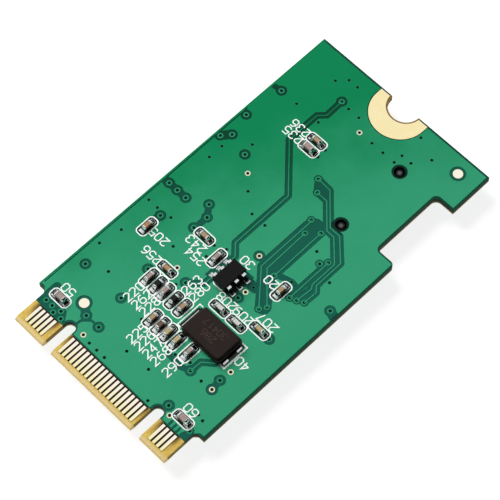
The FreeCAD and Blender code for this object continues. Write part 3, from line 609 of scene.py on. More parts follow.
# %% [markdown]
# Fired ceramic is never one colour: it has fine dark specks and cloudy patches. The foot of its walls is
# painted darker, as shade. The chips come from many reels, so each group has its own tone, from pale grey
# to dark brown. The moulded cases are black resin full of glass powder, which gives a dry, finely pitted
# surface.

# %% Ceramics and mouldings
SHADE_CLIMB = (0.10, 0.42)
TIP_SPOT = (0.01, 0.07)


def ceramic_finish(name, dark, pale):
    """Cloudy patches of two tones with dark specks, and the foot of the walls painted dark as shade."""
    material, spot = new_finish(name, Specular_IOR_Level=0.2)
    patches = noise(spot, 2.4)
    specks = ramp(noise(spot, 26.0, 2.0), 0.60, 0.74)
    colour = mix(specks * 0.45, mix(patches, rgb(*dark), rgb(*pale)), rgb(*[tone * 0.5 for tone in dark]))
    # Painted shade at the foot of the walls.
    chip_shade = 1 - ramp(rise_of(spot), *SHADE_CLIMB)
    return connect(material, Base_Color=mix(0.8 * chip_shade, colour, rgb(22, 18, 14)),
                   Roughness=0.42 + 0.15 * patches, relief=0.004 * noise(spot, 18.0))


def powdery(spot, dark, pale):
    """Black resin full of powder: the powder's noise and the colour that it gives."""
    powder = noise(spot, 22.0, 4.0)
    return powder, mix(ramp(powder, 0.4, 0.75), rgb(*dark), rgb(*pale))


def case_finish():
    """Dry, finely pitted moulding resin."""
    material, spot = new_finish("case_resin", Specular_IOR_Level=0.15)
    powder, colour = powdery(spot, (12, 12, 13), (30, 30, 32))
    return connect(material, Base_Color=colour, Roughness=0.5 + 0.18 * noise(spot, 3.0),
                   relief=0.005 * powder)


def housing_finish():
    """Black plastic; the pegs above the board are painted nearly black, as shade in their holes.

    Near the axis of a peg's tip a spot is painted grey, as a highlight.
    """
    material, spot = new_finish("housing_plastic", Specular_IOR_Level=0.15)
    x, y, z = axes(spot)
    aside, ahead = x - PEG_X, abs(y - PEG_MIDDLE) - PEG_APART
    # Painted highlight near the tip's axis, and painted shade on the pegs above the board.
    tip = (1 - ramp(aside * aside + ahead * ahead, *TIP_SPOT)) & (z > 0)
    powder, plastic = powdery(spot, (18, 18, 18), (34, 34, 35))
    return connect(material, Base_Color=mix(tip, mix(z > 0, plastic, rgb(9, 10, 10)), rgb(84, 84, 86)),
                   Roughness=0.28 + 0.18 * noise(spot, 3.0), relief=0.003 * powder)


CERAMIC_TONES = {
    "tan_ceramic": ((140, 118, 92), (188, 162, 130)),
    "orange_ceramic": ((144, 110, 78), (190, 148, 110)),
    "mauve_ceramic": ((134, 118, 112), (180, 162, 154)),
    "pale_ceramic": ((188, 182, 178), (224, 221, 217)),
    "yellow_ceramic": ((158, 142, 104), (198, 182, 140)),
    "brown_ceramic": ((82, 66, 55), (118, 98, 82)),
    "ferrite": ((16, 16, 15), (34, 34, 33)),
    "crystal_ceramic": ((26, 18, 17), (38, 29, 27)),
}
finishes = {slot: ceramic_finish(slot, dark, pale) for slot, (dark, pale) in CERAMIC_TONES.items()}
finishes.update(moulding=case_finish(), housing_plastic=housing_finish())
print(f"{len(finishes)} ceramics and mouldings are ready")

# %% [markdown]
# A chip resistor is a white ceramic tile with a black glaze over the middle of its top. All four lie on
# the lower face, so the glaze starts at one height below it.

# %% Resistors
GLAZE_EDGE = (0.12, 0.08)


def resistor_finish():
    """White tile, and black glaze from just below the tile's top upwards, counted away from the board."""
    material, spot = new_finish("glazed_tile", Specular_IOR_Level=0.4)
    top = -box_mm("resistor_1")[0][2]
    glazed = ramp(axes(spot)[2] * -1, *[top - edge for edge in GLAZE_EDGE])
    patches = noise(spot, 4.0)
    tile = mix(patches, rgb(206, 204, 198), rgb(236, 234, 228))
    glaze = mix(patches, rgb(18, 18, 20), rgb(34, 34, 38))
    return connect(material, Base_Color=mix(glazed, tile, glaze), Roughness=0.5 - 0.25 * glazed,
                   relief=0.003 * noise(spot, 15.0))


finishes["resistor_ceramic"] = resistor_finish()
finishes.update(gold=contact_gold, tin=tin, shell_steel=steel, spring_alloy=spring_alloy)
special = {"screw_land_upper": land_gold, "screw_land_lower": land_gold, "fiducial_marks": mark_gold,
           "crystal_terminals": shaded_tin, "regulator_leads": lead_tin}
for part in frame["record"]["subparts"]:
    if part["material_slot"] in finishes:
        dress(part["node"], special.get(part["node"], finishes[part["material_slot"]]))
print("every solid has its finish")

# %% [markdown]
# Now the new pieces. Each is a skin over rings of points: a ring is a closed section, and the rows of
# rings carry it along a path, up a height or round a hole. numpy works out all rings of all copies at
# once, and the face numbers are sums of row, column and copy, so no loop ever visits a single point.

# %% Skins over rings of points
def skin(rings, loop=False):
    """Join rings[copy, row, column] into faces.

    A face joins a point, its neighbour in the ring and the same two points of the next row. A lid closes
    the first and the last ring, unless the rows run round in a loop.
    """
    copies, rows, columns, _ = rings.shape
    index = np.arange(copies * rows * columns).reshape(copies, rows, columns)
    near, far = (index, np.roll(index, -1, axis=1)) if loop else (index[:, :-1], index[:, 1:])
    quads = np.stack([near, np.roll(near, -1, 2), np.roll(far, -1, 2), far], axis=-1).reshape(-1, 4)
    lids = [] if loop else [index[:, 0, ::-1], index[:, -1]]
    return rings.reshape(-1, 3), [quads, *lids]


def merge(skins):
    """Put several skins into one: each one's face numbers move past the points before it."""
    starts = np.cumsum([0] + [len(points) for points, _ in skins])
    blocks = [block + start for (_, faces), start in zip(skins, starts) for block in faces]
    return np.concatenate([points for points, _ in skins]), blocks


def mesh_from(name, points, blocks, side):
    """A mesh on one face of the board: the lower face is the upper one turned over about y."""
    place = np.stack([side * points[:, 0], points[:, 1], side * (face_height + points[:, 2])], axis=-1)
    mesh = bpy.data.meshes.new(name)
    mesh.from_pydata(place * MM, [], [corners for block in blocks for corners in block.tolist()])
    made = bmesh.new()
    made.from_mesh(mesh)
    bmesh.ops.recalc_face_normals(made, faces=made.faces)
    made.to_mesh(mesh)
    made.free()
    return mesh


def add_piece(mesh, material, smooth_below=0.0):
    """Show a mesh as a piece of the board; edges that turn less than an angle are shaded smooth."""
    if smooth_below:
        mesh.shade_smooth()
        mesh.set_sharp_from_angle(angle=math.radians(smooth_below))
    mesh.materials.append(material)
    piece = bpy.data.objects.new(mesh.name, mesh)
    bpy.context.scene.collection.objects.link(piece)
    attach(piece, "root")
    print(f"{mesh.name}: {len(mesh.vertices)} points, {len(mesh.polygons)} faces")
    return piece


print("skins can be made")

# %% [markdown]
# Flat work on a board needs few outlines: round-ended slots for channels, discs for rings, boxes with
# round corners for windows. A prism joins an outline at one height to an outline at another, and when the
# upper one is larger the walls lean, as mask does where it flows over the edge of the copper.

# %% Outlines and prisms
def slots(starts, ends, radius, steps=9):
    """Round-ended outlines: half a circle about each end, then half a circle about each start."""
    starts, ends = np.asarray(starts, float), np.asarray(ends, float)
    heading = np.arctan2(*(ends - starts).T[::-1])[:, None]
    half = np.linspace(-np.pi / 2, np.pi / 2, steps)
    angle = heading + np.concatenate([half, half + np.pi])
    centre = np.repeat(np.stack([ends, starts], axis=1), steps, axis=1)
    return centre + radius * np.stack([np.cos(angle), np.sin(angle)], axis=-1)


def discs(centres, radius, steps=24):
    """Circles: the centre plus a radius turned through the full angle."""
    angle = np.arange(steps) * 2 * np.pi / steps
    return np.asarray(centres, float)[:, None] + radius * np.stack([np.cos(angle), np.sin(angle)], axis=-1)


def round_box(low, high, radius, steps=5):
    """A box whose corners are quarter circles about four centres, counted anticlockwise."""
    angle = np.arange(4)[:, None] * np.pi / 2 + np.linspace(0, np.pi / 2, steps)
    right, top = np.array([1, 0, 0, 1]), np.array([1, 1, 0, 0])
    x = low[0] + radius + right * (high[0] - low[0] - 2 * radius)
    y = low[1] + radius + top * (high[1] - low[1] - 2 * radius)
    return np.stack([x[:, None] + radius * np.cos(angle), y[:, None] + radius * np.sin(angle)],
                    axis=-1).reshape(-1, 2)


def prism(foot, top, low, high):
    """Walls from the outline foot[copy, point] at one height to the outline top at another."""
    rings = np.empty((len(foot), 2, foot.shape[1], 3))
    rings[:, 0, :, :2], rings[:, 1, :, :2] = foot, top
    rings[:, 0, :, 2], rings[:, 1, :, 2] = low, high
    return skin(rings)


print("outlines are ready")

# %% [markdown]
# Mask follows what lies under it. Over the copper pour it stands a little higher and looks paler, and
# where the copper was etched away it sinks and darkens. We build the raised part as a thin slab and take
# the channels away with one Boolean. Every cutter is a small prism, so the walls come out crisp.

# %% Carving a slab
RELIEF = 0.03
WALL_LEAN = 0.09
CUTTER_MARGIN = 0.02


def channels(path, width):
    """Cutters along a path: one round-ended slot for each straight run, wider at the top."""
    path = np.asarray(path, float)
    return [slots(path[:-1], path[1:], width / 2 + lean) for lean in (0, WALL_LEAN)]


def rings_round(centres, radius):
    """Cutters that leave a round clearing about each centre."""
    return [discs(centres, radius + lean) for lean in (0, WALL_LEAN)]


def window(low, high, radius=0.12):
    """A cutter with round corners between two corners of a box."""
    low, high = np.asarray(low, float), np.asarray(high, float)
    return [round_box(low - lean, high + lean, radius + lean)[None] for lean in (0, WALL_LEAN)]


def patch(*corners):
    """A cutter with upright walls along any outline."""
    return [np.array([corners], float)] * 2


def carve(name, slab, cutters, side):
    """Take all cutters away from the slab at once and keep what is left as a plain mesh."""
    base = bpy.data.objects.new(name, mesh_from(name, *slab, side))
    bpy.context.scene.collection.objects.link(base)
    holder = bpy.data.collections.new("cutters")
    bpy.context.scene.collection.children.link(holder)
    for foot, top in cutters:
        for number in range(len(foot)):
            solid = prism(foot[number:number + 1], top[number:number + 1],
                          -CUTTER_MARGIN, RELIEF + CUTTER_MARGIN)
            holder.objects.link(bpy.data.objects.new("cutter", mesh_from("cutter", *solid, side)))
    boolean = base.modifiers.new("carve", "BOOLEAN")
    boolean.operation, boolean.solver = "DIFFERENCE", "MANIFOLD"
    boolean.operand_type, boolean.collection = "COLLECTION", holder
    carved = bpy.data.meshes.new_from_object(base.evaluated_get(bpy.context.evaluated_depsgraph_get()))
    for thing in [base, *holder.objects]:
        spent = thing.data
        bpy.data.objects.remove(thing)
        bpy.data.meshes.remove(spent)
    bpy.data.collections.remove(holder)
    carved.name = name
    carved.materials.clear()
    return carved


print("slabs can be carved")

# %% [markdown]
# The chips' places come from the solids themselves: the middle of each box is the chip's place, and its
# longer side tells which way it lies. The lower face is drawn as it looks from below, so x changes sign.

# %% Where the chips lie
CAP_WALL = 0.03


def chips_on(side):
    """Middle, direction (0 along x, 1 along y), and length, width and height of each chip on a face."""
    found = []
    for name in sorted(frame["nodes"]):
        if name.startswith(("capacitor", "ferrite", "resistor")):
            low, high = box_mm(name)
            if (low[2] > 0) == (side == UPPER):
                middle = (low + high)[:2] / 2 * (side, 1)
                size = high - low + 2 * CAP_WALL
                along = int(size[1] > size[0])
                found.append((middle, along, size[along], size[1 - along], size[2]))
    return found


chips = {side: chips_on(side) for side in (UPPER, LOWER)}
print({side: len(found) for side, found in chips.items()}, "chips found")

# %% [markdown]
# These lists are the board's wiring as a careful look at the picture gives it. A ringed hole stands alone
# in a dark clearing, an open hole shows its bright plating, and a covered hole is only a dark dimple in
# the mask. Each trace is a short list of corners.

# %% Wiring of the upper face
RING_RADIUS, CLEARED_RING, TRACE_RING, OPEN_RING, COVERED_RING = 0.52, 0.52, 0.38, 0.19, 0.10
TRACE_WIDTH, CHANNEL_WIDTH = 0.13, 0.63
RINGED_HOLES = np.array([
    (-9.38, 8.38), (-4.45, 8.33), (-5.41, 4.82), (-3.74, 4.82), (7.92, 9.03), (5.35, 7.80),
    (6.42, 4.02), (-10.09, 19.90), (-8.97, 19.90), (-7.82, 19.90), (-4.88, 19.86), (-5.74, 20.97),
    (-4.98, 18.23), (-8.14, 16.88), (-4.88, 12.17), (-1.38, 13.68), (3.17, 16.03), (8.17, 15.10),
    (-10.26, 30.40), (-9.65, 27.88), (-10.36, 27.00), (-7.21, 27.20), (10.12, 21.14), (-9.76, 34.74),
    (-4.76, 38.03),
])
OPEN_HOLES = np.array([
    (-4.18, 3.30), (8.02, 10.30), (-3.06, 14.18), (3.23, 16.94), (1.48, 20.50), (-5.56, 25.94),
    (-1.15, 36.74), (7.17, 3.41), (8.05, 7.88),
])
CLEARED_HOLES = np.array([(1.48, 20.50), (8.05, 7.88)])
COVERED_HOLES = np.array([
    (-7.29, 9.36), (-3.18, 3.12), (-2.18, 3.12), (-1.15, 3.12), (4.74, 3.00), (-0.17, 5.00), (2.55, 5.17),
    (6.76, 7.77), (8.95, 5.30), (9.64, 5.15), (-1.55, 8.18), (3.20, 7.92), (4.74, 8.33), (-0.79, 10.00),
    (-2.29, 18.27), (-1.17, 18.80), (-1.98, 16.94), (-10.14, 17.26), (-8.95, 17.26), (-7.29, 17.44),
    (-4.94, 15.47), (-9.65, 13.23), (-10.06, 10.80), (-1.90, 12.90), (4.48, 15.24), (3.42, 17.79),
    (-7.48, 28.48), (-9.42, 26.27), (-9.42, 24.58), (-4.15, 24.58), (-2.15, 23.14), (-0.44, 23.14),
    (4.94, 24.65), (8.05, 23.17), (-5.94, 40.27), (-4.79, 40.27), (-6.85, 39.29), (-3.70, 37.90),
    (-2.33, 37.88), (0.52, 36.74), (1.98, 36.74), (3.47, 36.74), (3.50, 37.80), (4.67, 37.80),
    (3.42, 40.53), (5.85, 39.47), (-7.68, 34.73), (-4.73, 34.73), (-2.10, 33.00), (-2.08, 31.97),
    (5.50, 20.72),
])
TRACE_HOLES = np.array([
    (-0.36, 30.29), (0.58, 29.17), (7.82, 20.06), (7.18, 19.71), (6.53, 24.58), (6.53, 19.44), (6.03, 23.92),
    (3.88, 26.29), (3.91, 20.05), (2.24, 26.65), (2.82, 25.23), (5.32, 16.60), (5.74, 17.26),
    (-9.20, 3.27), (-8.39, 3.27), (-7.38, 3.45), (-7.82, 2.86), (-6.83, 2.92), (9.52, 3.64),
])
TRACES = [
    [(-4.76, 38.03), (-4.70, 35.90), (-5.36, 35.20), (-5.36, 31.40), (-1.10, 26.95), (-1.10, 19.90),
     (-0.08, 18.85), (-0.08, 18.50)],
    [(-0.08, 15.65), (-0.08, 14.90), (-1.30, 13.72)],
    [(-0.36, 30.29), (1.26, 30.20), (4.10, 27.33), (5.32, 27.33), (7.39, 25.33), (7.40, 22.08), (7.89, 21.55),
     (7.82, 20.06)],
    [(0.58, 29.17), (1.85, 29.15), (4.10, 26.88), (5.00, 26.88), (7.06, 24.85), (7.06, 21.90), (7.33, 21.47),
     (7.18, 19.71)],
    [(6.53, 24.58), (6.53, 19.44)],
    [(3.88, 26.29), (3.91, 20.05)],
    [(2.24, 26.65), (2.35, 26.30), (2.35, 19.90), (5.32, 16.60)],
    [(2.82, 25.23), (2.90, 20.10), (5.74, 17.26)],
    [(5.35, 7.80), (5.40, 9.06), (6.40, 9.90)],
]
print(f"{len(RINGED_HOLES) + len(OPEN_HOLES) + len(COVERED_HOLES) + len(TRACE_HOLES)} holes noted")

# %% [markdown]
# The pour stops short of every edge, so its outline is the board's own outline moved inwards. Joined to
# the same outline a little further in, it becomes a slab with leaning walls.

# %% Slab of raised mask
EDGE_PULLBACK, FAR_PULLBACK, NEAR_PULLBACK = 0.12, 0.05, 0.10
TAB_HALF, SHOULDER, SHOULDER_FILLET = 9.925, 4.0, 0.55


def pour_outline(inset):
    """The board's outline moved inwards, with the shoulders cut at 45 degrees."""
    right, far = board_high[0] - inset, board_high[1] - inset - FAR_PULLBACK
    tab, shoulder, near = TAB_HALF - inset, SHOULDER + inset, MASK_END + NEAR_PULLBACK
    half = [(tab, near), (tab, shoulder - SHOULDER_FILLET - inset / 2),
            (tab + SHOULDER_FILLET + inset / 2, shoulder), (right, shoulder), (right, far)]
    return np.array([half + [(-x, y) for x, y in half[::-1]]], float)


slab = prism(pour_outline(EDGE_PULLBACK), pour_outline(EDGE_PULLBACK + WALL_LEAN), 0.0, RELIEF)
print(f"slab with {len(slab[0])} corners")

# %% [markdown]
# From that slab we take the channels, the rings, the windows round the soldered lands, the land of the
# screw and the mouths of the key slots and the finger cut-out. What both faces share comes from one
# function, which mirrors it for the lower face.

# %% Cutters of the upper face
CUTOUT_FILLET = 0.55
KEY_X, KEY_RADIUS, KEY_CENTRE_Y, KEY_RUN = (-5.625, 6.125), 0.6, 2.9, 4.0
LAND_RADIUS, LAND_CENTRE_Y, LAND_GAP, LAND_END = 3.05, 41.15, 0.06, 43.0
LAND_OVERHANG, LAND_MARGIN, LAND_WINDOW = 0.38, 0.1, 0.1
FIDUCIALS, FIDUCIAL_RING = [(-6.50, 5.55), (8.62, 40.15)], 0.75
PEG_HOLES, PEG_RING = [(PEG_X, PEG_MIDDLE - PEG_APART), (PEG_X, PEG_MIDDLE + PEG_APART)], 0.74


def clearing_half(chip):
    """Half the size of the clearing round a chip's two lands."""
    _, along, length, width, _ = chip
    half = np.array([length / 2 + LAND_OVERHANG, (width + LAND_MARGIN) / 2])
    return half[[along, 1 - along]] + LAND_WINDOW


def chip_window(chip):
    """The window in the mask that leaves a chip's two lands bare."""
    half = clearing_half(chip)
    return window(chip[0] - half, chip[0] + half)


def edge_cutters(mirror):
    """What both faces share: key slots, finger cut-out, screw land and pegs, mirrored for the lower face."""
    keys = np.array([(mirror * x, KEY_CENTRE_Y) for x in KEY_X])
    radius = KEY_RADIUS + EDGE_PULLBACK
    corner_a = np.array(CUTOUT_LOW) - EDGE_PULLBACK
    corner_b = np.array(CUTOUT_HIGH) + EDGE_PULLBACK
    low_x, high_x = sorted((mirror * corner_a[0], mirror * corner_b[0]))
    land = LAND_RADIUS + LAND_GAP
    return [
        [slots(keys - (0, KEY_RUN), keys, radius + lean) for lean in (0, WALL_LEAN)],
        window((low_x, corner_a[1]), (high_x, corner_b[1]), CUTOUT_FILLET),
        rings_round([(0, LAND_CENTRE_Y)], land),
        patch((-land, LAND_CENTRE_Y), (land, LAND_CENTRE_Y), (land, LAND_END), (-land, LAND_END)),
        rings_round([(mirror * x, y) for x, y in PEG_HOLES], PEG_RING),
    ]


upper_cutters = edge_cutters(1) + [channels(path, CHANNEL_WIDTH) for path in TRACES]
upper_cutters += [chip_window(chip) for chip in chips[UPPER]]
upper_cutters += [rings_round(centres, radius) for centres, radius in (
    (RINGED_HOLES, RING_RADIUS), (FIDUCIALS, FIDUCIAL_RING), (COVERED_HOLES, COVERED_RING),
    (OPEN_HOLES, OPEN_RING), (TRACE_HOLES, TRACE_RING), (CLEARED_HOLES, CLEARED_RING))]
print(f"{sum(len(foot) for foot, _ in upper_cutters)} cutters from the lists")

# %% [markdown]
# Some clearings are neither rings nor channels: the broad field between the two bundles, the fan-out
# behind the outer contacts, and the short necks that join neighbouring rings. A neck is a path and the
# width of its floor, and a fan-out is an outline of its own. With all of these gathered, one Boolean
# carves the slab, which is quicker and cleaner than one for each cutter.

# %% Clearings and necks of the upper face
NECKS = [
    ([(3.10, 26.10), (3.10, 20.70)], 2.30),
    ([(2.95, 20.40), (5.50, 17.00)], 1.40),
    ([(-10.09, 19.90), (-7.82, 19.90)], 0.72),
    ([(-10.09, 19.90), (-10.75, 19.90)], 0.8),
    ([(-5.74, 20.97), (-4.88, 19.86), (-4.88, 18.40)], 0.58),
    ([(-10.72, 4.50), (-10.72, 31.0)], 0.02),
    ([(-9.65, 27.88), (-10.36, 27.00)], 0.9),
    ([(-9.76, 34.74), (-10.90, 34.60)], 0.5),
    ([(-10.26, 30.40), (-10.90, 30.40)], 0.6),
    ([(10.12, 21.14), (10.90, 20.90)], 0.9),
    ([(7.92, 9.03), (8.05, 7.88)], 0.6),
    ([(7.75, 2.70), (7.75, 3.20)], 0.14),
    ([(8.25, 2.70), (8.25, 3.20)], 0.14),
    ([(8.75, 2.70), (8.75, 3.20)], 0.14),
    ([(-6.50, 5.55), (-5.41, 4.82)], 0.8),
    ([(-5.41, 3.60), (-5.41, 4.10), (-4.70, 4.82), (-3.74, 4.82)], 0.14),
    ([(5.35, 7.80), (4.40, 7.40), (2.70, 7.55)], 0.5),
    ([(-8.16, 16.88), (-8.16, 16.00)], 0.8),
    ([(8.17, 15.10), (7.60, 15.10)], 0.8),
    ([(3.17, 16.03), (2.60, 16.00)], 0.8),
    ([(-4.88, 12.17), (-4.50, 12.10)], 0.8),
    ([(1.90, 17.85), (3.60, 17.85)], 0.9),
    ([(-9.55, 4.95), (-9.55, 3.40)], 0.7),
    ([(3.91, 20.25), (5.50, 20.72), (6.50, 20.60)], 0.55),
    ([(6.03, 23.92), (6.53, 24.20)], 0.5),
    ([(-0.36, 30.29), (0.58, 29.17)], 0.6),
    ([(0.70, 29.70), (1.50, 29.60)], 0.9),
    ([(1.48, 20.50), (2.20, 20.50)], 0.7),
]
FAN_OUTS = [
    [(-5.41, 4.10), (-4.70, 4.82), (-5.41, 4.82)],
    [(-9.75, 2.3), (-6.40, 2.3), (-6.55, 3.25), (-7.0, 3.85), (-9.75, 3.85)],
    [(9.10, 2.3), (9.80, 2.3), (9.80, 3.60), (9.40, 3.60), (9.10, 3.0)],
    [(-0.75, 15.55), (2.75, 15.55), (2.75, 18.55), (-0.75, 18.55)],
    [(1.50, 10.15), (7.10, 10.15), (7.10, 12.95), (1.50, 12.95)],
]
upper_cutters += [channels(path, width) for path, width in NECKS]
upper_cutters += [patch(*corners) for corners in FAN_OUTS]
pour_upper = carve("mask_over_copper_upper", slab, upper_cutters, UPPER)
print(f"{len(pour_upper.polygons)} faces left of the upper slab")

# %% [markdown]
# The same mask looks paler over copper, because the metal sends light back through it. It has the faint
# orange-peel skin of sprayed lacquer and slow changes of tone over some millimetres. A painted sheen leaves
# it paler away from the far left edge and a deeper green towards it, and down the leaning walls of the
# copper it is painted darker, as shade.

# %% Mask over copper
WALL_FOOT, WALL_TOP = 0.1, 0.97


def pour_finish():
    """Two greens by the painted sheen's falloff, with fine mottling.

    Height tells the walls from the top; the walls are painted darker towards their foot, as shade.
    """
    material, spot = new_finish("mask_over_copper", Specular_IOR_Level=0.12)
    cloud, fine = noise(spot, 0.22), noise(spot, 6.0)
    x, y, z = axes(spot)
    # Painted shade: the leaning walls darken towards their foot.
    wall = 1 - ramp(abs(z) - face_height, WALL_FOOT * RELIEF, WALL_TOP * RELIEF)
    # The paler green is where the painted sheen lies.
    thin = mix(cloud, rgb(46, 150, 109), rgb(58, 156, 117))
    colour = mix(sheen_falloff(spot, x, y), thin, rgb(4, 124, 76))
    shaded = mix(fine * 0.22, colour, rgb(26, 122, 86))
    return connect(material, Base_Color=mix(wall, shaded, rgb(4, 56, 44)), Roughness=0.36 + 0.12 * fine,
                   relief=0.004 * fine)


green_copper = pour_finish()
add_piece(pour_upper, green_copper)
print("upper pour is in place")

# %% [markdown]
# Traces lie in the channels at the height of the pour. A trace is a section with leaning sides carried
# along its corners. At a corner the section turns halfway and grows by one over the cosine of half the
# turn, so both sides stay parallel to the runs. The printed lines are made by the same function.

# %% Lines with a section
def ribbon(path, width, top, foot=0.0, lean=0.02):
    """Carry a trapezium along a path: foot and top on the left, then top and foot on the right."""
    path = np.asarray(path, float)
    loop = bool(np.allclose(path[0], path[-1]))
    corners = path[:-1] if loop else path
    run = np.diff(path, axis=0)
    run /= np.linalg.norm(run, axis=1, keepdims=True)
    before = np.roll(run, 1, axis=0) if loop else np.concatenate([run[:1], run])
    after = run if loop else np.concatenate([run, run[-1:]])
    heading = before + after
    heading /= np.linalg.norm(heading, axis=1, keepdims=True)
    left = np.stack([-heading[:, 1], heading[:, 0]], axis=-1)
    left /= np.sum(heading * after, axis=1, keepdims=True)
    sideways = np.array([width / 2, width / 2 - lean, lean - width / 2, -width / 2])
    rings = np.empty((1, len(corners), 4, 3))
    rings[0, :, :, :2] = corners[:, None] + sideways[:, None] * left[:, None]
    rings[0, :, :, 2] = np.array([foot, top, top, foot])
    return skin(rings, loop)


upper_traces = merge([ribbon(path, TRACE_WIDTH, RELIEF) for path in TRACES])
add_piece(mesh_from("traces_upper", *upper_traces, UPPER), green_copper)
print("upper traces are in place")

# %% [markdown]
# A plated hole is a surface of revolution: its profile climbs the pad's edge, crosses the rim and dives
# into the bore. Each point remembers how far along the profile it lies, so one finish can paint the pad
# like mask or like bare plating, and paint the bore dark, as the shade inside the hole.

# %% Plated holes
PAD_PROFILE = np.array([
    (0.31, 0.0), (0.29, RELIEF), (0.18, RELIEF + 0.004), (0.15, RELIEF - 0.004), (0.12, 0.004)])
DIMPLE_PROFILE = np.array([
    (0.20, 0.0), (0.19, RELIEF + 0.002), (0.165, RELIEF + 0.002), (0.14, RELIEF - 0.006), (0.12, 0.004)])
TINNED_PROFILE = np.array([
    (0.29, 0.0), (0.28, RELIEF + 0.004), (0.18, RELIEF + 0.008), (0.15, RELIEF), (0.12, 0.004)])
BORE_START, BORE_DARK = 0.55, 0.75


def turned(centres, profile, steps=18):
    """Turn a profile of radii and heights about each centre: radius times cosine and sine of the angle."""
    angle = np.arange(steps) * 2 * np.pi / steps
    rings = np.empty((len(centres), len(profile), steps, 3))
    rings[..., 0] = centres[:, 0, None, None] + profile[:, 0, None] * np.cos(angle)
    rings[..., 1] = centres[:, 1, None, None] + profile[:, 0, None] * np.sin(angle)
    rings[..., 2] = profile[:, 1, None]
    return skin(rings), np.tile(np.repeat(np.linspace(0, 1, len(profile)), steps), len(centres))


def hole_finish(name, rim_dark, rim_pale, bare):
    """Rim and bore by the distance along the profile; bare plating is metal, covered plating is mask."""
    material, spot = new_finish(name, Specular_IOR_Level=0.12)
    along = spot.node("ShaderNodeAttribute", {"attribute_name": "along_profile"}, output="Fac")
    # The bore is painted dark, as the shade inside the hole.
    bore = ramp(along, BORE_START, BORE_DARK)
    rim = mix(noise(spot, 7.0), rgb(*rim_dark), rgb(*rim_pale))
    return connect(material, Base_Color=mix(bore, rim, rgb(5, 22, 17)), Metallic=(1 - bore) * float(bare),
                   Roughness=0.34 + 0.3 * bore, relief=0.003 * noise(spot, 9.0))


def add_holes(name, centres, profile, material, side):
    """Show one kind of hole on a face, with the distance along the profile as an attribute."""
    (points, blocks), along = turned(centres, profile)
    mesh = mesh_from(name, points, blocks, side)
    mesh.attributes.new("along_profile", "FLOAT", "POINT").data.foreach_set("value", along)
    add_piece(mesh, material, smooth_below=50)


covered_rim = hole_finish("covered_hole", (34, 128, 94), (44, 144, 106), bare=False)
bright_rim = hole_finish("bright_hole", (226, 220, 186), (250, 246, 224), bare=True)
upper_pads = np.concatenate([RINGED_HOLES, TRACE_HOLES])
add_holes("hole_pads_upper", upper_pads, PAD_PROFILE, covered_rim, UPPER)
add_holes("hole_dimples_upper", COVERED_HOLES, DIMPLE_PROFILE, covered_rim, UPPER)
add_holes("open_holes_upper", OPEN_HOLES, TINNED_PROFILE, bright_rim, UPPER)
print("upper holes are in place")

# %% [markdown]
# The white print is thick ink pressed through a screen, so it stands a little above the mask. Each chip
# has an outline with round corners, the crystal has brackets, and plain numbers mark the places.

# %% Printed ink
PRINT_TOP, PRINT_STEP = 0.044, 0.00015
PRINT_WIDTH = 0.15
OUTLINE_LENGTH, OUTLINE_WIDTH, OUTLINE_CORNER = 2.24, 1.12, 0.40


def ink_finish():
    """White ink, a little greener where it is thin."""
    material, spot = new_finish("white_print", Specular_IOR_Level=0.2)
    gaps = noise(spot, 12.0)
    colour = mix(ramp(gaps, 0.3, 0.5), rgb(212, 232, 222), rgb(250, 253, 251))
    return connect(material, Base_Color=colour, Roughness=0.55 + 0.2 * gaps, relief=0.004 * gaps)


def chip_outline(chip):
    """The closed line round a chip."""
    middle, along, *_ = chip
    half = np.array([OUTLINE_LENGTH, OUTLINE_WIDTH])[[along, 1 - along]] / 2
    outline = round_box(middle - half, middle + half, OUTLINE_CORNER)
    return np.concatenate([outline, outline[:1]])


def printed(lines, start=0):
    """Lines of ink: each stands a hair higher than the one before, so that none share a face."""
    return merge([ribbon(path, PRINT_WIDTH, PRINT_TOP + PRINT_STEP * count)
                  for count, path in enumerate(lines, start)])


ink = ink_finish()
BRACKETS_UPPER = [
    [(1.58, 13.08), (1.14, 13.08), (1.14, 10.18), (1.58, 10.18)],
    [(6.70, 13.04), (7.33, 13.04), (7.33, 10.14), (6.70, 10.14)],
    [(6.70, 13.09), (7.38, 13.09), (7.38, 10.09), (6.70, 10.09)],
    [(0.36, 15.62), (0.52, 15.46), (1.44, 15.46), (1.60, 15.62)],
]
upper_lines = [chip_outline(chip) for chip in chips[UPPER]] + BRACKETS_UPPER
add_piece(mesh_from("print_outlines_upper", *printed(upper_lines), UPPER), ink)
print("upper outlines are printed")

# %% [markdown]
# A stroke alphabet needs only digits. Each digit is one or two lines on a grid four wide and six high,
# and a number is its digits set side by side, scaled, turned about their middle and moved into place.

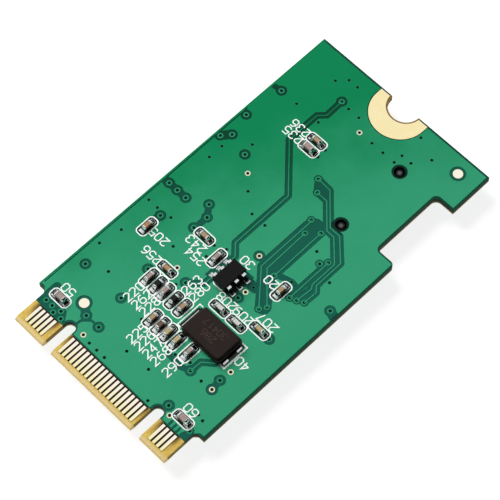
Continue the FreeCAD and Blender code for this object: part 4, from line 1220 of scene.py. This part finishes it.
# %% A stroke alphabet
STROKES = {
    "0": [[(0, 1), (0, 5), (1, 6), (3, 6), (4, 5), (4, 1), (3, 0), (1, 0), (0, 1)]],
    "1": [[(0.8, 4.8), (2, 6), (2, 0)]],
    "2": [[(0, 5), (1, 6), (3, 6), (4, 5), (4, 4), (0, 0), (4, 0)]],
    "3": [[(0, 5), (1, 6), (3, 6), (4, 5), (4, 4), (3, 3), (4, 2), (4, 1), (3, 0), (1, 0), (0, 1)]],
    "4": [[(3, 0), (3, 6), (0, 2)], [(0, 2), (4, 2)]],
    "5": [[(4, 6), (0.4, 6), (0, 3.4), (3, 3.6), (4, 2.6), (4, 1), (3, 0), (1, 0), (0, 0.8)]],
    "6": [[(3.6, 6), (1.6, 6), (0, 4), (0, 1), (1, 0), (3, 0), (4, 1), (4, 2.6), (3, 3.6), (0.2, 3.4)]],
    "7": [[(0, 6), (4, 6), (1.4, 0)]],
    "8": [[(1, 3.2), (0, 4.2), (0, 5), (1, 6), (3, 6), (4, 5), (4, 4.2), (3, 3.2), (1, 3.2)],
          [(1, 3.1), (0, 2.1), (0, 1), (1, 0), (3, 0), (4, 1), (4, 2.1), (3, 3.1)]],
    "9": [[(0.4, 0), (2.4, 0), (4, 2), (4, 5), (3, 6), (1, 6), (0, 5), (0, 3.4), (1, 2.4), (3.8, 2.6)]],
}
DIGIT_WIDTH, DIGIT_HEIGHT, DIGIT_STEP = 4.0, 6.0, 5.5


def number_lines(text, x, y, turn, height):
    """The strokes of a number: grid places, centred, scaled, turned and moved."""
    cosine, sine = math.cos(math.radians(turn)), math.sin(math.radians(turn))
    turning = np.array([(cosine, sine), (-sine, cosine)])
    whole = np.array([DIGIT_STEP * (len(text) - 1) + DIGIT_WIDTH, DIGIT_HEIGHT])
    lines = []
    for place, digit in enumerate(text):
        for stroke in STROKES[digit]:
            grid = np.array(stroke, float) + (DIGIT_STEP * place, 0) - whole / 2
            lines.append(grid * height / DIGIT_HEIGHT @ turning + (x, y))
    return lines


print(f"{len(STROKES)} digits can be drawn")

# %% [markdown]
# Each number stands beside its part, in two directions, as boards have them. They are ink like the
# outlines, and count on from those in height, so that no two lines share a face where they cross.

# %% Numbers of the upper face
NUMBER_HEIGHT = 0.84
NUMBERS_START = 40
UPPER_NUMBERS = {
    "236": (-5.50, 33.05, 180), "235": (-5.50, 32.00, 180), "243": (-3.60, 17.15, 180),
    "254": (-2.70, 16.20, 180), "205": (-6.60, 15.20, 180), "256": (-5.70, 13.40, 180),
    "20": (4.20, 19.35, 180), "207": (6.90, 16.15, 180), "208": (2.70, 15.05, 180),
    "209": (4.85, 15.05, 180), "30": (1.20, 19.20, 180), "40": (8.20, 11.60, 180),
    "50": (-8.50, 5.40, 180), "60": (8.20, 5.10, 180), "220": (-4.10, 9.60, 90), "262": (-3.00, 9.60, 90),
    "228": (-1.95, 9.60, 90), "263": (-0.80, 13.90, 90), "280": (0.22, 13.90, 90), "225": (-0.80, 6.90, 90),
    "226": (0.22, 6.90, 90), "247": (1.33, 6.90, 90), "268": (2.38, 6.90, 90), "290": (3.93, 6.90, 90),
}


def add_numbers(name, numbers, side):
    """Print numbers on a face; their count starts past that of the outlines, so no heights are shared."""
    lines = [line for text, place in numbers.items() for line in number_lines(text, *place, NUMBER_HEIGHT)]
    add_piece(mesh_from(name, *printed(lines, NUMBERS_START), side), ink)


add_numbers("print_numbers_upper", UPPER_NUMBERS, UPPER)
print("upper numbers are printed")

# %% [markdown]
# A thin dark film under and beside each chip is painted shade: a dark sheet for the shade round the
# chips. It is a low box with round corners and leaning walls, which fills most of the chip's clearing and
# leaves the lands free above it.

# %% Films of painted shade
FILM_TOP, FILM_MARGIN = 0.008, 0.04


def flat_pool(low, high, top, corner=0.1, lean=0.05):
    """A low box with round corners: its outline at the foot, and the same drawn in by the lean above."""
    low, high = np.asarray(low, float), np.asarray(high, float)
    inner = round_box(low + lean, high - lean, corner - lean / 2)
    return prism(round_box(low, high, corner)[None], inner[None], 0.0, top)


def shade_film(chip):
    """The film of one chip: its clearing and a narrow margin."""
    half = clearing_half(chip) + FILM_MARGIN
    return flat_pool(chip[0] - half, chip[0] + half, FILM_TOP, lean=FILM_TOP)


def shade_finish():
    """Painted shade: dark green, a little paler in patches."""
    material, spot = new_finish("shade_film", Specular_IOR_Level=0.2)
    film_patches = noise(spot, 3.0)
    colour = mix(film_patches, rgb(5, 28, 22), rgb(11, 50, 38))
    return connect(material, Base_Color=colour, Roughness=0.25 + 0.3 * film_patches, relief=0.003 * film_patches)


chip_shade = shade_finish()
for name, side in (("shade_films_upper", UPPER), ("shade_films_lower", LOWER)):
    films = merge([shade_film(chip) for chip in chips[side]])
    add_piece(mesh_from(name, *films, side), chip_shade)

# %% [markdown]
# The plated ends of a chip drown in solder: it coats the plating, rounds its edges and runs out over the
# land in a hollow curve. We carry an arch along the chip from the plating's inner edge to the solder's toe,
# square over the ceramic and rounder as it sinks, and let it stand for the plain end caps.

# %% Chip ends under solder
END_OUT = np.array([-0.19, -0.17, -0.09, -0.01, 0.05, 0.12, 0.21, 0.30, 0.36])
END_UP = np.array([0.99, 1.02, 1.00, 0.92, 0.76, 0.46, 0.22, 0.09, 0.03])
END_WIDE = np.array([1.00, 1.04, 1.04, 1.02, 1.00, 1.02, 1.06, 1.02, 0.80])
END_ROUND = np.array([0.36, 0.36, 0.38, 0.46, 0.60, 0.72, 0.85, 1.00, 1.00])


def facing(ends, headings, out, aside, up):
    """Stand sections at ends[copy] and turn them to headings[copy]: out runs ahead, aside to the left."""
    ends, headings = np.asarray(ends, float), np.asarray(headings, float)
    cosine, sine = np.cos(headings)[:, None, None], np.sin(headings)[:, None, None]
    x = ends[:, 0, None, None] + cosine * out - sine * aside
    y = ends[:, 1, None, None] + sine * out + cosine * aside
    return skin(np.stack([x, y, up + np.zeros_like(x)], axis=-1))


def chip_ends(chip):
    """Both ends of a chip as arches: half width times |cos a|**p aside and height times (sin a)**p up.

    The angle a goes from 0 to half a turn. The power p grows from 0.3, nearly a box, to 1, an ellipse.
    """
    middle, along, length, width, height = chip
    headings = np.array([0, np.pi]) + along * np.pi / 2
    ends = middle + length / 2 * np.stack([np.cos(headings), np.sin(headings)], axis=-1)
    angle, power = np.linspace(0, np.pi, 15), END_ROUND[:, None]
    cosine = np.cos(angle)
    aside = END_WIDE[:, None] * width / 2 * np.sign(cosine) * np.abs(cosine) ** power
    up = copper + END_UP[:, None] * height * np.sin(angle) ** power
    return facing(ends, headings, END_OUT[:, None] + np.zeros_like(up), aside, up)


def add_chip_ends(name, side, node):
    """Show all chip ends of a face in place of the plain end caps."""
    mesh = mesh_from(name, *merge([chip_ends(chip) for chip in chips[side]]), side)
    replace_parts(add_piece(mesh, end_solder, smooth_below=45), node)


add_chip_ends("chip_ends_upper", UPPER, "chip_end_caps_upper")
add_chip_ends("chip_ends_lower", LOWER, "chip_end_caps_lower")
print("chip ends are soldered")

# %% [markdown]
# Solder climbs a lead's toe in the same hollow curve. One fillet is a quarter ellipse carried across the
# toe and shrinking towards its sides. Leads, terminals, tails and feet take it in their own sizes.

# %% Solder fillets
FILLET_SINK, TOE_REACH = 0.015, 0.17
REGULATOR_TOES = dict(pitch=0.95, count=3, width=0.42, rise=0.13, sides=2, side=UPPER)


def fillets(ends, headings, width, reach, rise):
    """Hollow fillets against ends[copy] that face along headings[copy].

    Outwards they run reach times (1 - sin a) and upwards rise times (1 - cos a) while a goes from 0 to a
    right angle. Both shrink by 1 - v**4 / 2, where v goes from -1 to 1 across the end.
    """
    across, bend = np.linspace(-1, 1, 7), np.linspace(0, np.pi / 2, 6)
    shrink = (1 - across ** 4 / 2)[:, None]
    out = np.concatenate([reach * (1 - np.sin(bend)), [-FILLET_SINK, -FILLET_SINK]]) * shrink
    up = copper + np.concatenate([rise * (1 - np.cos(bend)), [rise, 0]]) * shrink
    return facing(ends, headings, out, across[:, None] * width / 2 + np.zeros_like(out), up)


def toe_fillets(node, pitch, count, width, rise, sides, side):
    """Fillets at the toes of a case's leads: the toes lie on the sides of the leads' own box."""
    low, high = box_mm(node)
    middle, half = (low + high)[:2] / 2 * (side, 1), (high - low)[:2] / 2
    steps = (np.arange(count) - (count - 1) / 2) * pitch
    made = []
    for heading in np.arange(sides) * 2 * np.pi / sides:
        out = np.array([np.cos(heading), np.sin(heading)])
        ends = middle + out * half + steps[:, None] * np.array([-out[1], out[0]])
        made.append(fillets(ends, np.full(count, heading), width, TOE_REACH, rise))
    return made


upper_solder = toe_fillets("regulator_leads", **REGULATOR_TOES)
print("leads of the regulator are wetted")

# %% [markdown]
# The crystal's terminals and the strips of land at its two ends are painted nearly black, as shade and
# dark reflection. On the right strip two flat pools of solder shine, and on the left one a narrow line.
# Each is a box with round corners whose walls lean in. The lid carries a faint number, burnt in and a
# shade paler.

# %% Crystal: strip painted dark, bright pools and a faint number on the lid
STRIP_TUCK, STRIP_HALF, STRIP_STEP = 0.1, 1.32, 0.002
RIGHT_REACH, LEFT_REACH = 0.42, 0.54
POOL_OUT, POOL_HALF, POOL_PLACES, POOL_RISE = (0.06, 0.34), 0.36, (-0.86, 0.90), 0.05
LINE_OUT, LINE_ENDS, LINE_RISE, LINE_CORNER, LINE_LEAN = (0.20, 0.31), (-1.22, 1.05), 0.04, 0.04, 0.02
END_FILLET = dict(width=2.4, reach=0.13, rise=0.3)
LID_NUMBERS = ("30417", 0.5), ("286", -0.45)
MARK_WIDTH, MARK_RISE, MARK_HEIGHT, MARK_STEP = 0.07, 0.004, 0.62, 0.0002
(start_x, low_y, _), (end_x, high_y, _) = box_mm("crystal_terminals")
crystal_y = (low_y + high_y) / 2


def crystal_pool(left, right, near, far, top, *edge):
    """A flat pool on the land, with near and far counted from the crystal's middle line."""
    return flat_pool((left, crystal_y + near), (right, crystal_y + far), copper + top, *edge)


strips = [crystal_pool(end_x - STRIP_TUCK, end_x + RIGHT_REACH, -STRIP_HALF, STRIP_HALF, 0.0),
          crystal_pool(start_x - LEFT_REACH, start_x + STRIP_TUCK, -STRIP_HALF, STRIP_HALF, STRIP_STEP)]
add_piece(mesh_from("crystal_shaded_strip", *merge(strips), UPPER), shaded_tin)
upper_solder.append(crystal_pool(start_x - LINE_OUT[1], start_x - LINE_OUT[0], *LINE_ENDS, LINE_RISE,
                                 LINE_CORNER, LINE_LEAN))
upper_solder += [crystal_pool(end_x + POOL_OUT[0], end_x + POOL_OUT[1], place - POOL_HALF, place + POOL_HALF,
                              POOL_RISE) for place in POOL_PLACES]
upper_solder.append(fillets([(start_x, crystal_y)], [np.pi], **END_FILLET))
add_piece(mesh_from("solder_upper", *merge(upper_solder), UPPER), solder, smooth_below=40)
lid_low, lid_high = box_mm("crystal_lid")
lid_x, lid_y = (lid_low + lid_high)[:2] / 2
lid_top = lid_high[2] - face_height
marks = [line for text, off in LID_NUMBERS
         for line in number_lines(text, lid_x, lid_y + off, 180, MARK_HEIGHT)]
lid_mark = merge([ribbon(line, MARK_WIDTH, lid_top + MARK_RISE + MARK_STEP * count, lid_top - MARK_RISE)
                  for count, line in enumerate(marks)])
burnt_mark = ceramic_finish("burnt_mark", (56, 44, 41), (84, 70, 65))
add_piece(mesh_from("crystal_lid_mark", *lid_mark, UPPER), burnt_mark)
print("crystal is soldered and marked")

# %% [markdown]
# The lower face is the working side: the memory card's socket fills its far half and the controller its
# near half. Eight traces leave the springs' tails, run down beside the socket and turn into the
# controller's leads. They keep their order, so each lane and each row is one step beside the last.

# %% Wiring of the lower face
LANE_STEP, FIRST_LANE, FIRST_ROW = 0.3, 6.45, 19.8
BEND, TRACE_TUCK = 0.5, 0.05
LEAD_PITCH, LEADS_A_SIDE, SPRINGS = 0.5, 12, 8
controller_low, controller_high = box_mm("controller_leads")
controller_x, controller_y = (controller_low + controller_high)[:2] / 2 * (LOWER, 1)
toe = (controller_high - controller_low)[1] / 2


def lead_x(number):
    """Place of a lead along the controller's near or far side, counted from 0 as you look at the face."""
    return controller_x + LEAD_PITCH * ((LEADS_A_SIDE - 1) / 2 - number)


def bus_trace(number):
    """From a spring's tail to its lane, down the lane to its row, and along the row to its lead."""
    low, high = box_mm(f"contact_{number}")
    tail_x, tail_y = -low[0], (low + high)[1] / 2
    step = LANE_STEP * (SPRINGS - number)
    lane, row = FIRST_LANE + step, FIRST_ROW - step
    end = lead_x(number - 1)
    return [(tail_x + TRACE_TUCK, tail_y), (lane - BEND, tail_y), (lane, tail_y - BEND), (lane, row + BEND),
            (lane - BEND, row), (end + BEND, row), (end, row - BEND), (end, controller_y + toe + TRACE_TUCK)]


bus = [bus_trace(number) for number in range(1, SPRINGS + 1)]
pair_ends = [(0.25, 0.20), (-0.75, -0.90)]
LOWER_TRACES = [[(lead, 7.85), (lead, 7.20), (chip, 6.60)] for lead, chip in pair_ends]
LOWER_TRACES += [[(chip, 4.60), (lead, 4.20), (lead, 2.55)] for lead, chip in pair_ends]
LOWER_TRACES += [[(lead, 7.85), (lead, 2.55)] for lead in (-1.75, -2.25)]
LOWER_TRACES += [
    [(3.70, 10.25), (4.30, 10.25), (4.55, 10.05), (4.80, 10.05)],
    [(3.70, 14.75), (4.30, 14.75), (4.55, 14.95), (4.80, 14.95)],
    [(3.70, 12.25), (4.40, 12.25), (5.10, 12.55)], [(3.70, 9.75), (4.20, 9.75), (5.00, 8.90)],
    [(-5.70, 10.25), (-6.30, 10.25), (-6.55, 10.05), (-6.80, 10.05)],
    [(-5.70, 14.75), (-6.30, 14.75), (-6.55, 14.95), (-6.80, 14.95)],
    [(-5.70, 12.75), (-6.40, 12.75), (-7.10, 12.45)], [(-5.70, 15.25), (-6.10, 15.25), (-6.90, 16.20)],
    [(2.80, 22.00), (2.80, 22.60), (-0.50, 22.60), (-0.50, 22.00)], [(1.70, 22.60), (1.70, 22.00)],
    [(0.60, 22.60), (0.60, 22.00)], [(2.80, 22.60), (4.10, 22.60)], [(-0.50, 20.20), (-0.50, 19.80)],
    [(-3.25, 17.05), (-3.25, 18.10), (-4.40, 19.20)], [(-2.25, 17.05), (-2.25, 18.40), (-3.20, 20.60)],
]
LOWER_TRACE_HOLES = np.array([(5.10, 12.55), (5.00, 8.90), (-7.10, 12.45), (-6.90, 16.20), (4.10, 22.60),
                              (-4.40, 19.20), (-3.20, 20.60)])
print(f"{len(bus) + len(LOWER_TRACES)} traces noted for the lower face")

# %% [markdown]
# Plated holes go right through, so the upper face's holes come out here too, wherever nothing stands on
# them. Boxes round the socket, the controller and the bus say where that is.

# %% Holes that come through
MOUTH_CLEAR, TAIL_CLEAR, SIDE_CLEAR = 0.9, 1.5, 0.5
socket_low, socket_high = box_mm("socket_housing")
socket_left, socket_right = -socket_high[0], -socket_low[0]
socket_y = (socket_low + socket_high)[1] / 2
shell_reach = (box_mm("socket_shell")[1] - box_mm("socket_shell")[0])[1] / 2
tails_y = [path[0][1] for path in bus] + [(box_mm("detect_spring")[0] + box_mm("detect_spring")[1])[1] / 2]
socket_half, controller_half = shell_reach + SIDE_CLEAR, toe + SIDE_CLEAR
KEEP_OUT = np.array([
    (socket_left - MOUTH_CLEAR, socket_y - socket_half, socket_right + TAIL_CLEAR, socket_y + socket_half),
    (controller_x - controller_half, controller_y - controller_half,
     controller_x + controller_half, controller_y + controller_half),
    (5.6, 17.0, 9.2, 37.0), (-4.9, 17.0, 9.2, 23.2), (4.4, 8.4, 5.9, 15.8), (-7.9, 8.4, -6.3, 16.8),
    (-2.7, 2.3, 0.8, 8.2), (-3.6, 37.5, 3.6, 42.0), (-10.0, 0.0, -6.9, 2.9), (6.9, 0.0, 10.0, 2.9),
])


def clear_of(centres, boxes):
    """The centres that lie in none of the boxes, which are given as low x, low y, high x and high y."""
    x, y = centres[:, 0, None], centres[:, 1, None]
    inside = (x > boxes[:, 0]) & (y > boxes[:, 1]) & (x < boxes[:, 2]) & (y < boxes[:, 3])
    return centres[~inside.any(axis=1)]


through = np.concatenate([RINGED_HOLES, COVERED_HOLES, TRACE_HOLES]) * (LOWER, 1)
lower_dimples, lower_open = clear_of(through, KEEP_OUT), clear_of(OPEN_HOLES * (LOWER, 1), KEEP_OUT)
print(f"{len(lower_dimples) + len(lower_open)} holes come through")

# %% [markdown]
# The pour of the lower face is carved from the same slab. It has channels for the bus, and it also stops
# round the controller's leads, the springs' tails, the shell's feet and the socket, which sits on the bare
# face.

# %% The raised mask of the lower face
SHELL_FEET_X, FEET_OFF, FOOT_WINDOW = (-7.05, 3.75), 6.12, (0.85, 0.55)
BUS_CHANNEL, LOWER_CHANNEL = 0.5, 0.45
TAIL_HALF, TAIL_RUN = 0.36, (-0.1, 1.1)
STRIP_IN, STRIP_OUT, STRIP_ALONG = -0.72, 0.32, 3.02
SEAT_MOUTH, SEAT_TAIL, SEAT_SIDE = 0.6, 0.1, 0.45
ENDS = (-1, 1)
lower_cutters = edge_cutters(LOWER) + [channels(path, BUS_CHANNEL) for path in bus]
lower_cutters += [channels(path, LOWER_CHANNEL) for path in LOWER_TRACES]
lower_cutters += [chip_window(chip) for chip in chips[LOWER]]
lower_cutters.append(window((socket_left - SEAT_MOUTH, socket_y - shell_reach + SEAT_SIDE),
                            (socket_right + SEAT_TAIL, socket_y + shell_reach - SEAT_SIDE)))
feet = [np.array([x, socket_y + end * FEET_OFF]) for x in SHELL_FEET_X for end in ENDS]
lower_cutters += [window(foot - FOOT_WINDOW, foot + FOOT_WINDOW) for foot in feet]
lower_cutters += [window((socket_right + TAIL_RUN[0], y - TAIL_HALF),
                         (socket_right + TAIL_RUN[1], y + TAIL_HALF)) for y in tails_y]
middle = np.array([controller_x, controller_y])
for end in ENDS:
    near, far = sorted((end * (toe + STRIP_IN), end * (toe + STRIP_OUT)))
    low, high = np.array([near, -STRIP_ALONG]), np.array([far, STRIP_ALONG])
    lower_cutters += [window(middle + low, middle + high), window(middle + low[::-1], middle + high[::-1])]
lower_cutters += [rings_round(lower_dimples, COVERED_RING), rings_round(lower_open, OPEN_RING),
                  rings_round(LOWER_TRACE_HOLES, TRACE_RING)]
pour_lower = carve("mask_over_copper_lower", slab, lower_cutters, LOWER)
add_piece(pour_lower, green_copper)
print(f"{len(pour_lower.polygons)} faces left of the lower slab")

# %% [markdown]
# Traces and holes of the lower face use the same functions as above, with the face turned over. Copying the
# upper pieces would be shorter, but the two faces are wired differently, and only some holes come through.

# %% Traces and holes of the lower face
lower_lines = merge([ribbon(path, TRACE_WIDTH, RELIEF) for path in bus + LOWER_TRACES])
add_piece(mesh_from("traces_lower", *lower_lines, LOWER), green_copper)
add_holes("hole_pads_lower", LOWER_TRACE_HOLES, PAD_PROFILE, covered_rim, LOWER)
add_holes("hole_dimples_lower", lower_dimples, DIMPLE_PROFILE, covered_rim, LOWER)
add_holes("open_holes_lower", lower_open, TINNED_PROFILE, bright_rim, LOWER)
print("lower wiring is in place")

# %% [markdown]
# The print of the lower face outlines the chips, marks the controller's corners and its first lead, and
# follows the socket's long sides between its feet.

# %% Print of the lower face
FIRST_LEAD_OFF, FIRST_LEAD_RADIUS, SIDE_INSET = 4.15, 0.14, 0.35
first_mark = discs([middle + FIRST_LEAD_OFF], FIRST_LEAD_RADIUS, 12)[0]
corner = np.array([(3.75, 3.25), (3.75, 3.75), (3.25, 3.75)])
brackets = [corner * signs + middle for signs in ((1, 1), (-1, 1), (-1, -1), (1, -1))]
side_low, side_high = socket_y - shell_reach + SIDE_INSET, socket_y + shell_reach - SIDE_INSET
socket_lines = [[(-6.0, side_low), (2.7, side_low)], [(-6.0, side_high), (-2.0, side_high)],
                [(2.0, side_high), (2.7, side_high)], [(4.8, side_low), (5.3, side_low)],
                [(4.8, side_high), (5.3, side_high)]]
lower_outlines = [chip_outline(chip) for chip in chips[LOWER]] + brackets + socket_lines
lower_outlines.append(np.concatenate([first_mark, first_mark[:1]]))
add_piece(mesh_from("print_outlines_lower", *printed(lower_outlines), LOWER), ink)
LOWER_NUMBERS = {
    "21": (6.55, 10.60, 90), "22": (6.55, 14.40, 90), "23": (-8.45, 10.60, 90), "24": (-8.45, 14.40, 90),
    "25": (1.70, 5.60, 90), "26": (-3.30, 5.60, 90), "70": (-6.30, 18.10, 0), "80": (-3.60, 24.60, 0),
    "11": (-2.10, 21.00, 90), "90": (5.40, 39.60, 0),
}
add_numbers("print_numbers_lower", LOWER_NUMBERS, LOWER)
print("lower face is printed")

# %% [markdown]
# Solder holds the controller's toes, the springs' tails and the four feet of the shell. A foot is wetted on
# its outer edge and on both sides.

# %% Solder of the lower face
CONTROLLER_TOES = dict(pitch=LEAD_PITCH, count=LEADS_A_SIDE, width=0.22, rise=0.12, sides=4, side=LOWER)
TAIL_FILLET = dict(width=0.44, reach=0.09, rise=0.11)
FOOT_HALF, FOOT_MIDDLE = 0.65, 0.36
FOOT_EDGE = dict(width=1.3, reach=0.05, rise=0.13)
FOOT_FLANK = dict(width=0.66, reach=0.1, rise=0.13)
tail_ends = [(box_mm("contact_1")[0][0] * LOWER, y) for y in tails_y]
lower_solder = toe_fillets("controller_leads", **CONTROLLER_TOES)
lower_solder.append(fillets(tail_ends, np.zeros(len(tail_ends)), **TAIL_FILLET))
for end in ENDS:
    foot_y = socket_y + end * shell_reach
    edges = [(x, foot_y) for x in SHELL_FEET_X]
    flanks = [(x + turn * FOOT_HALF, foot_y - end * FOOT_MIDDLE) for x in SHELL_FEET_X for turn in ENDS]
    lower_solder.append(fillets(edges, np.full(2, end * np.pi / 2), **FOOT_EDGE))
    lower_solder.append(fillets(flanks, [np.pi, 0] * 2, **FOOT_FLANK))
add_piece(mesh_from("solder_lower", *merge(lower_solder), LOWER), solder, smooth_below=40)
print("lower solder is set")
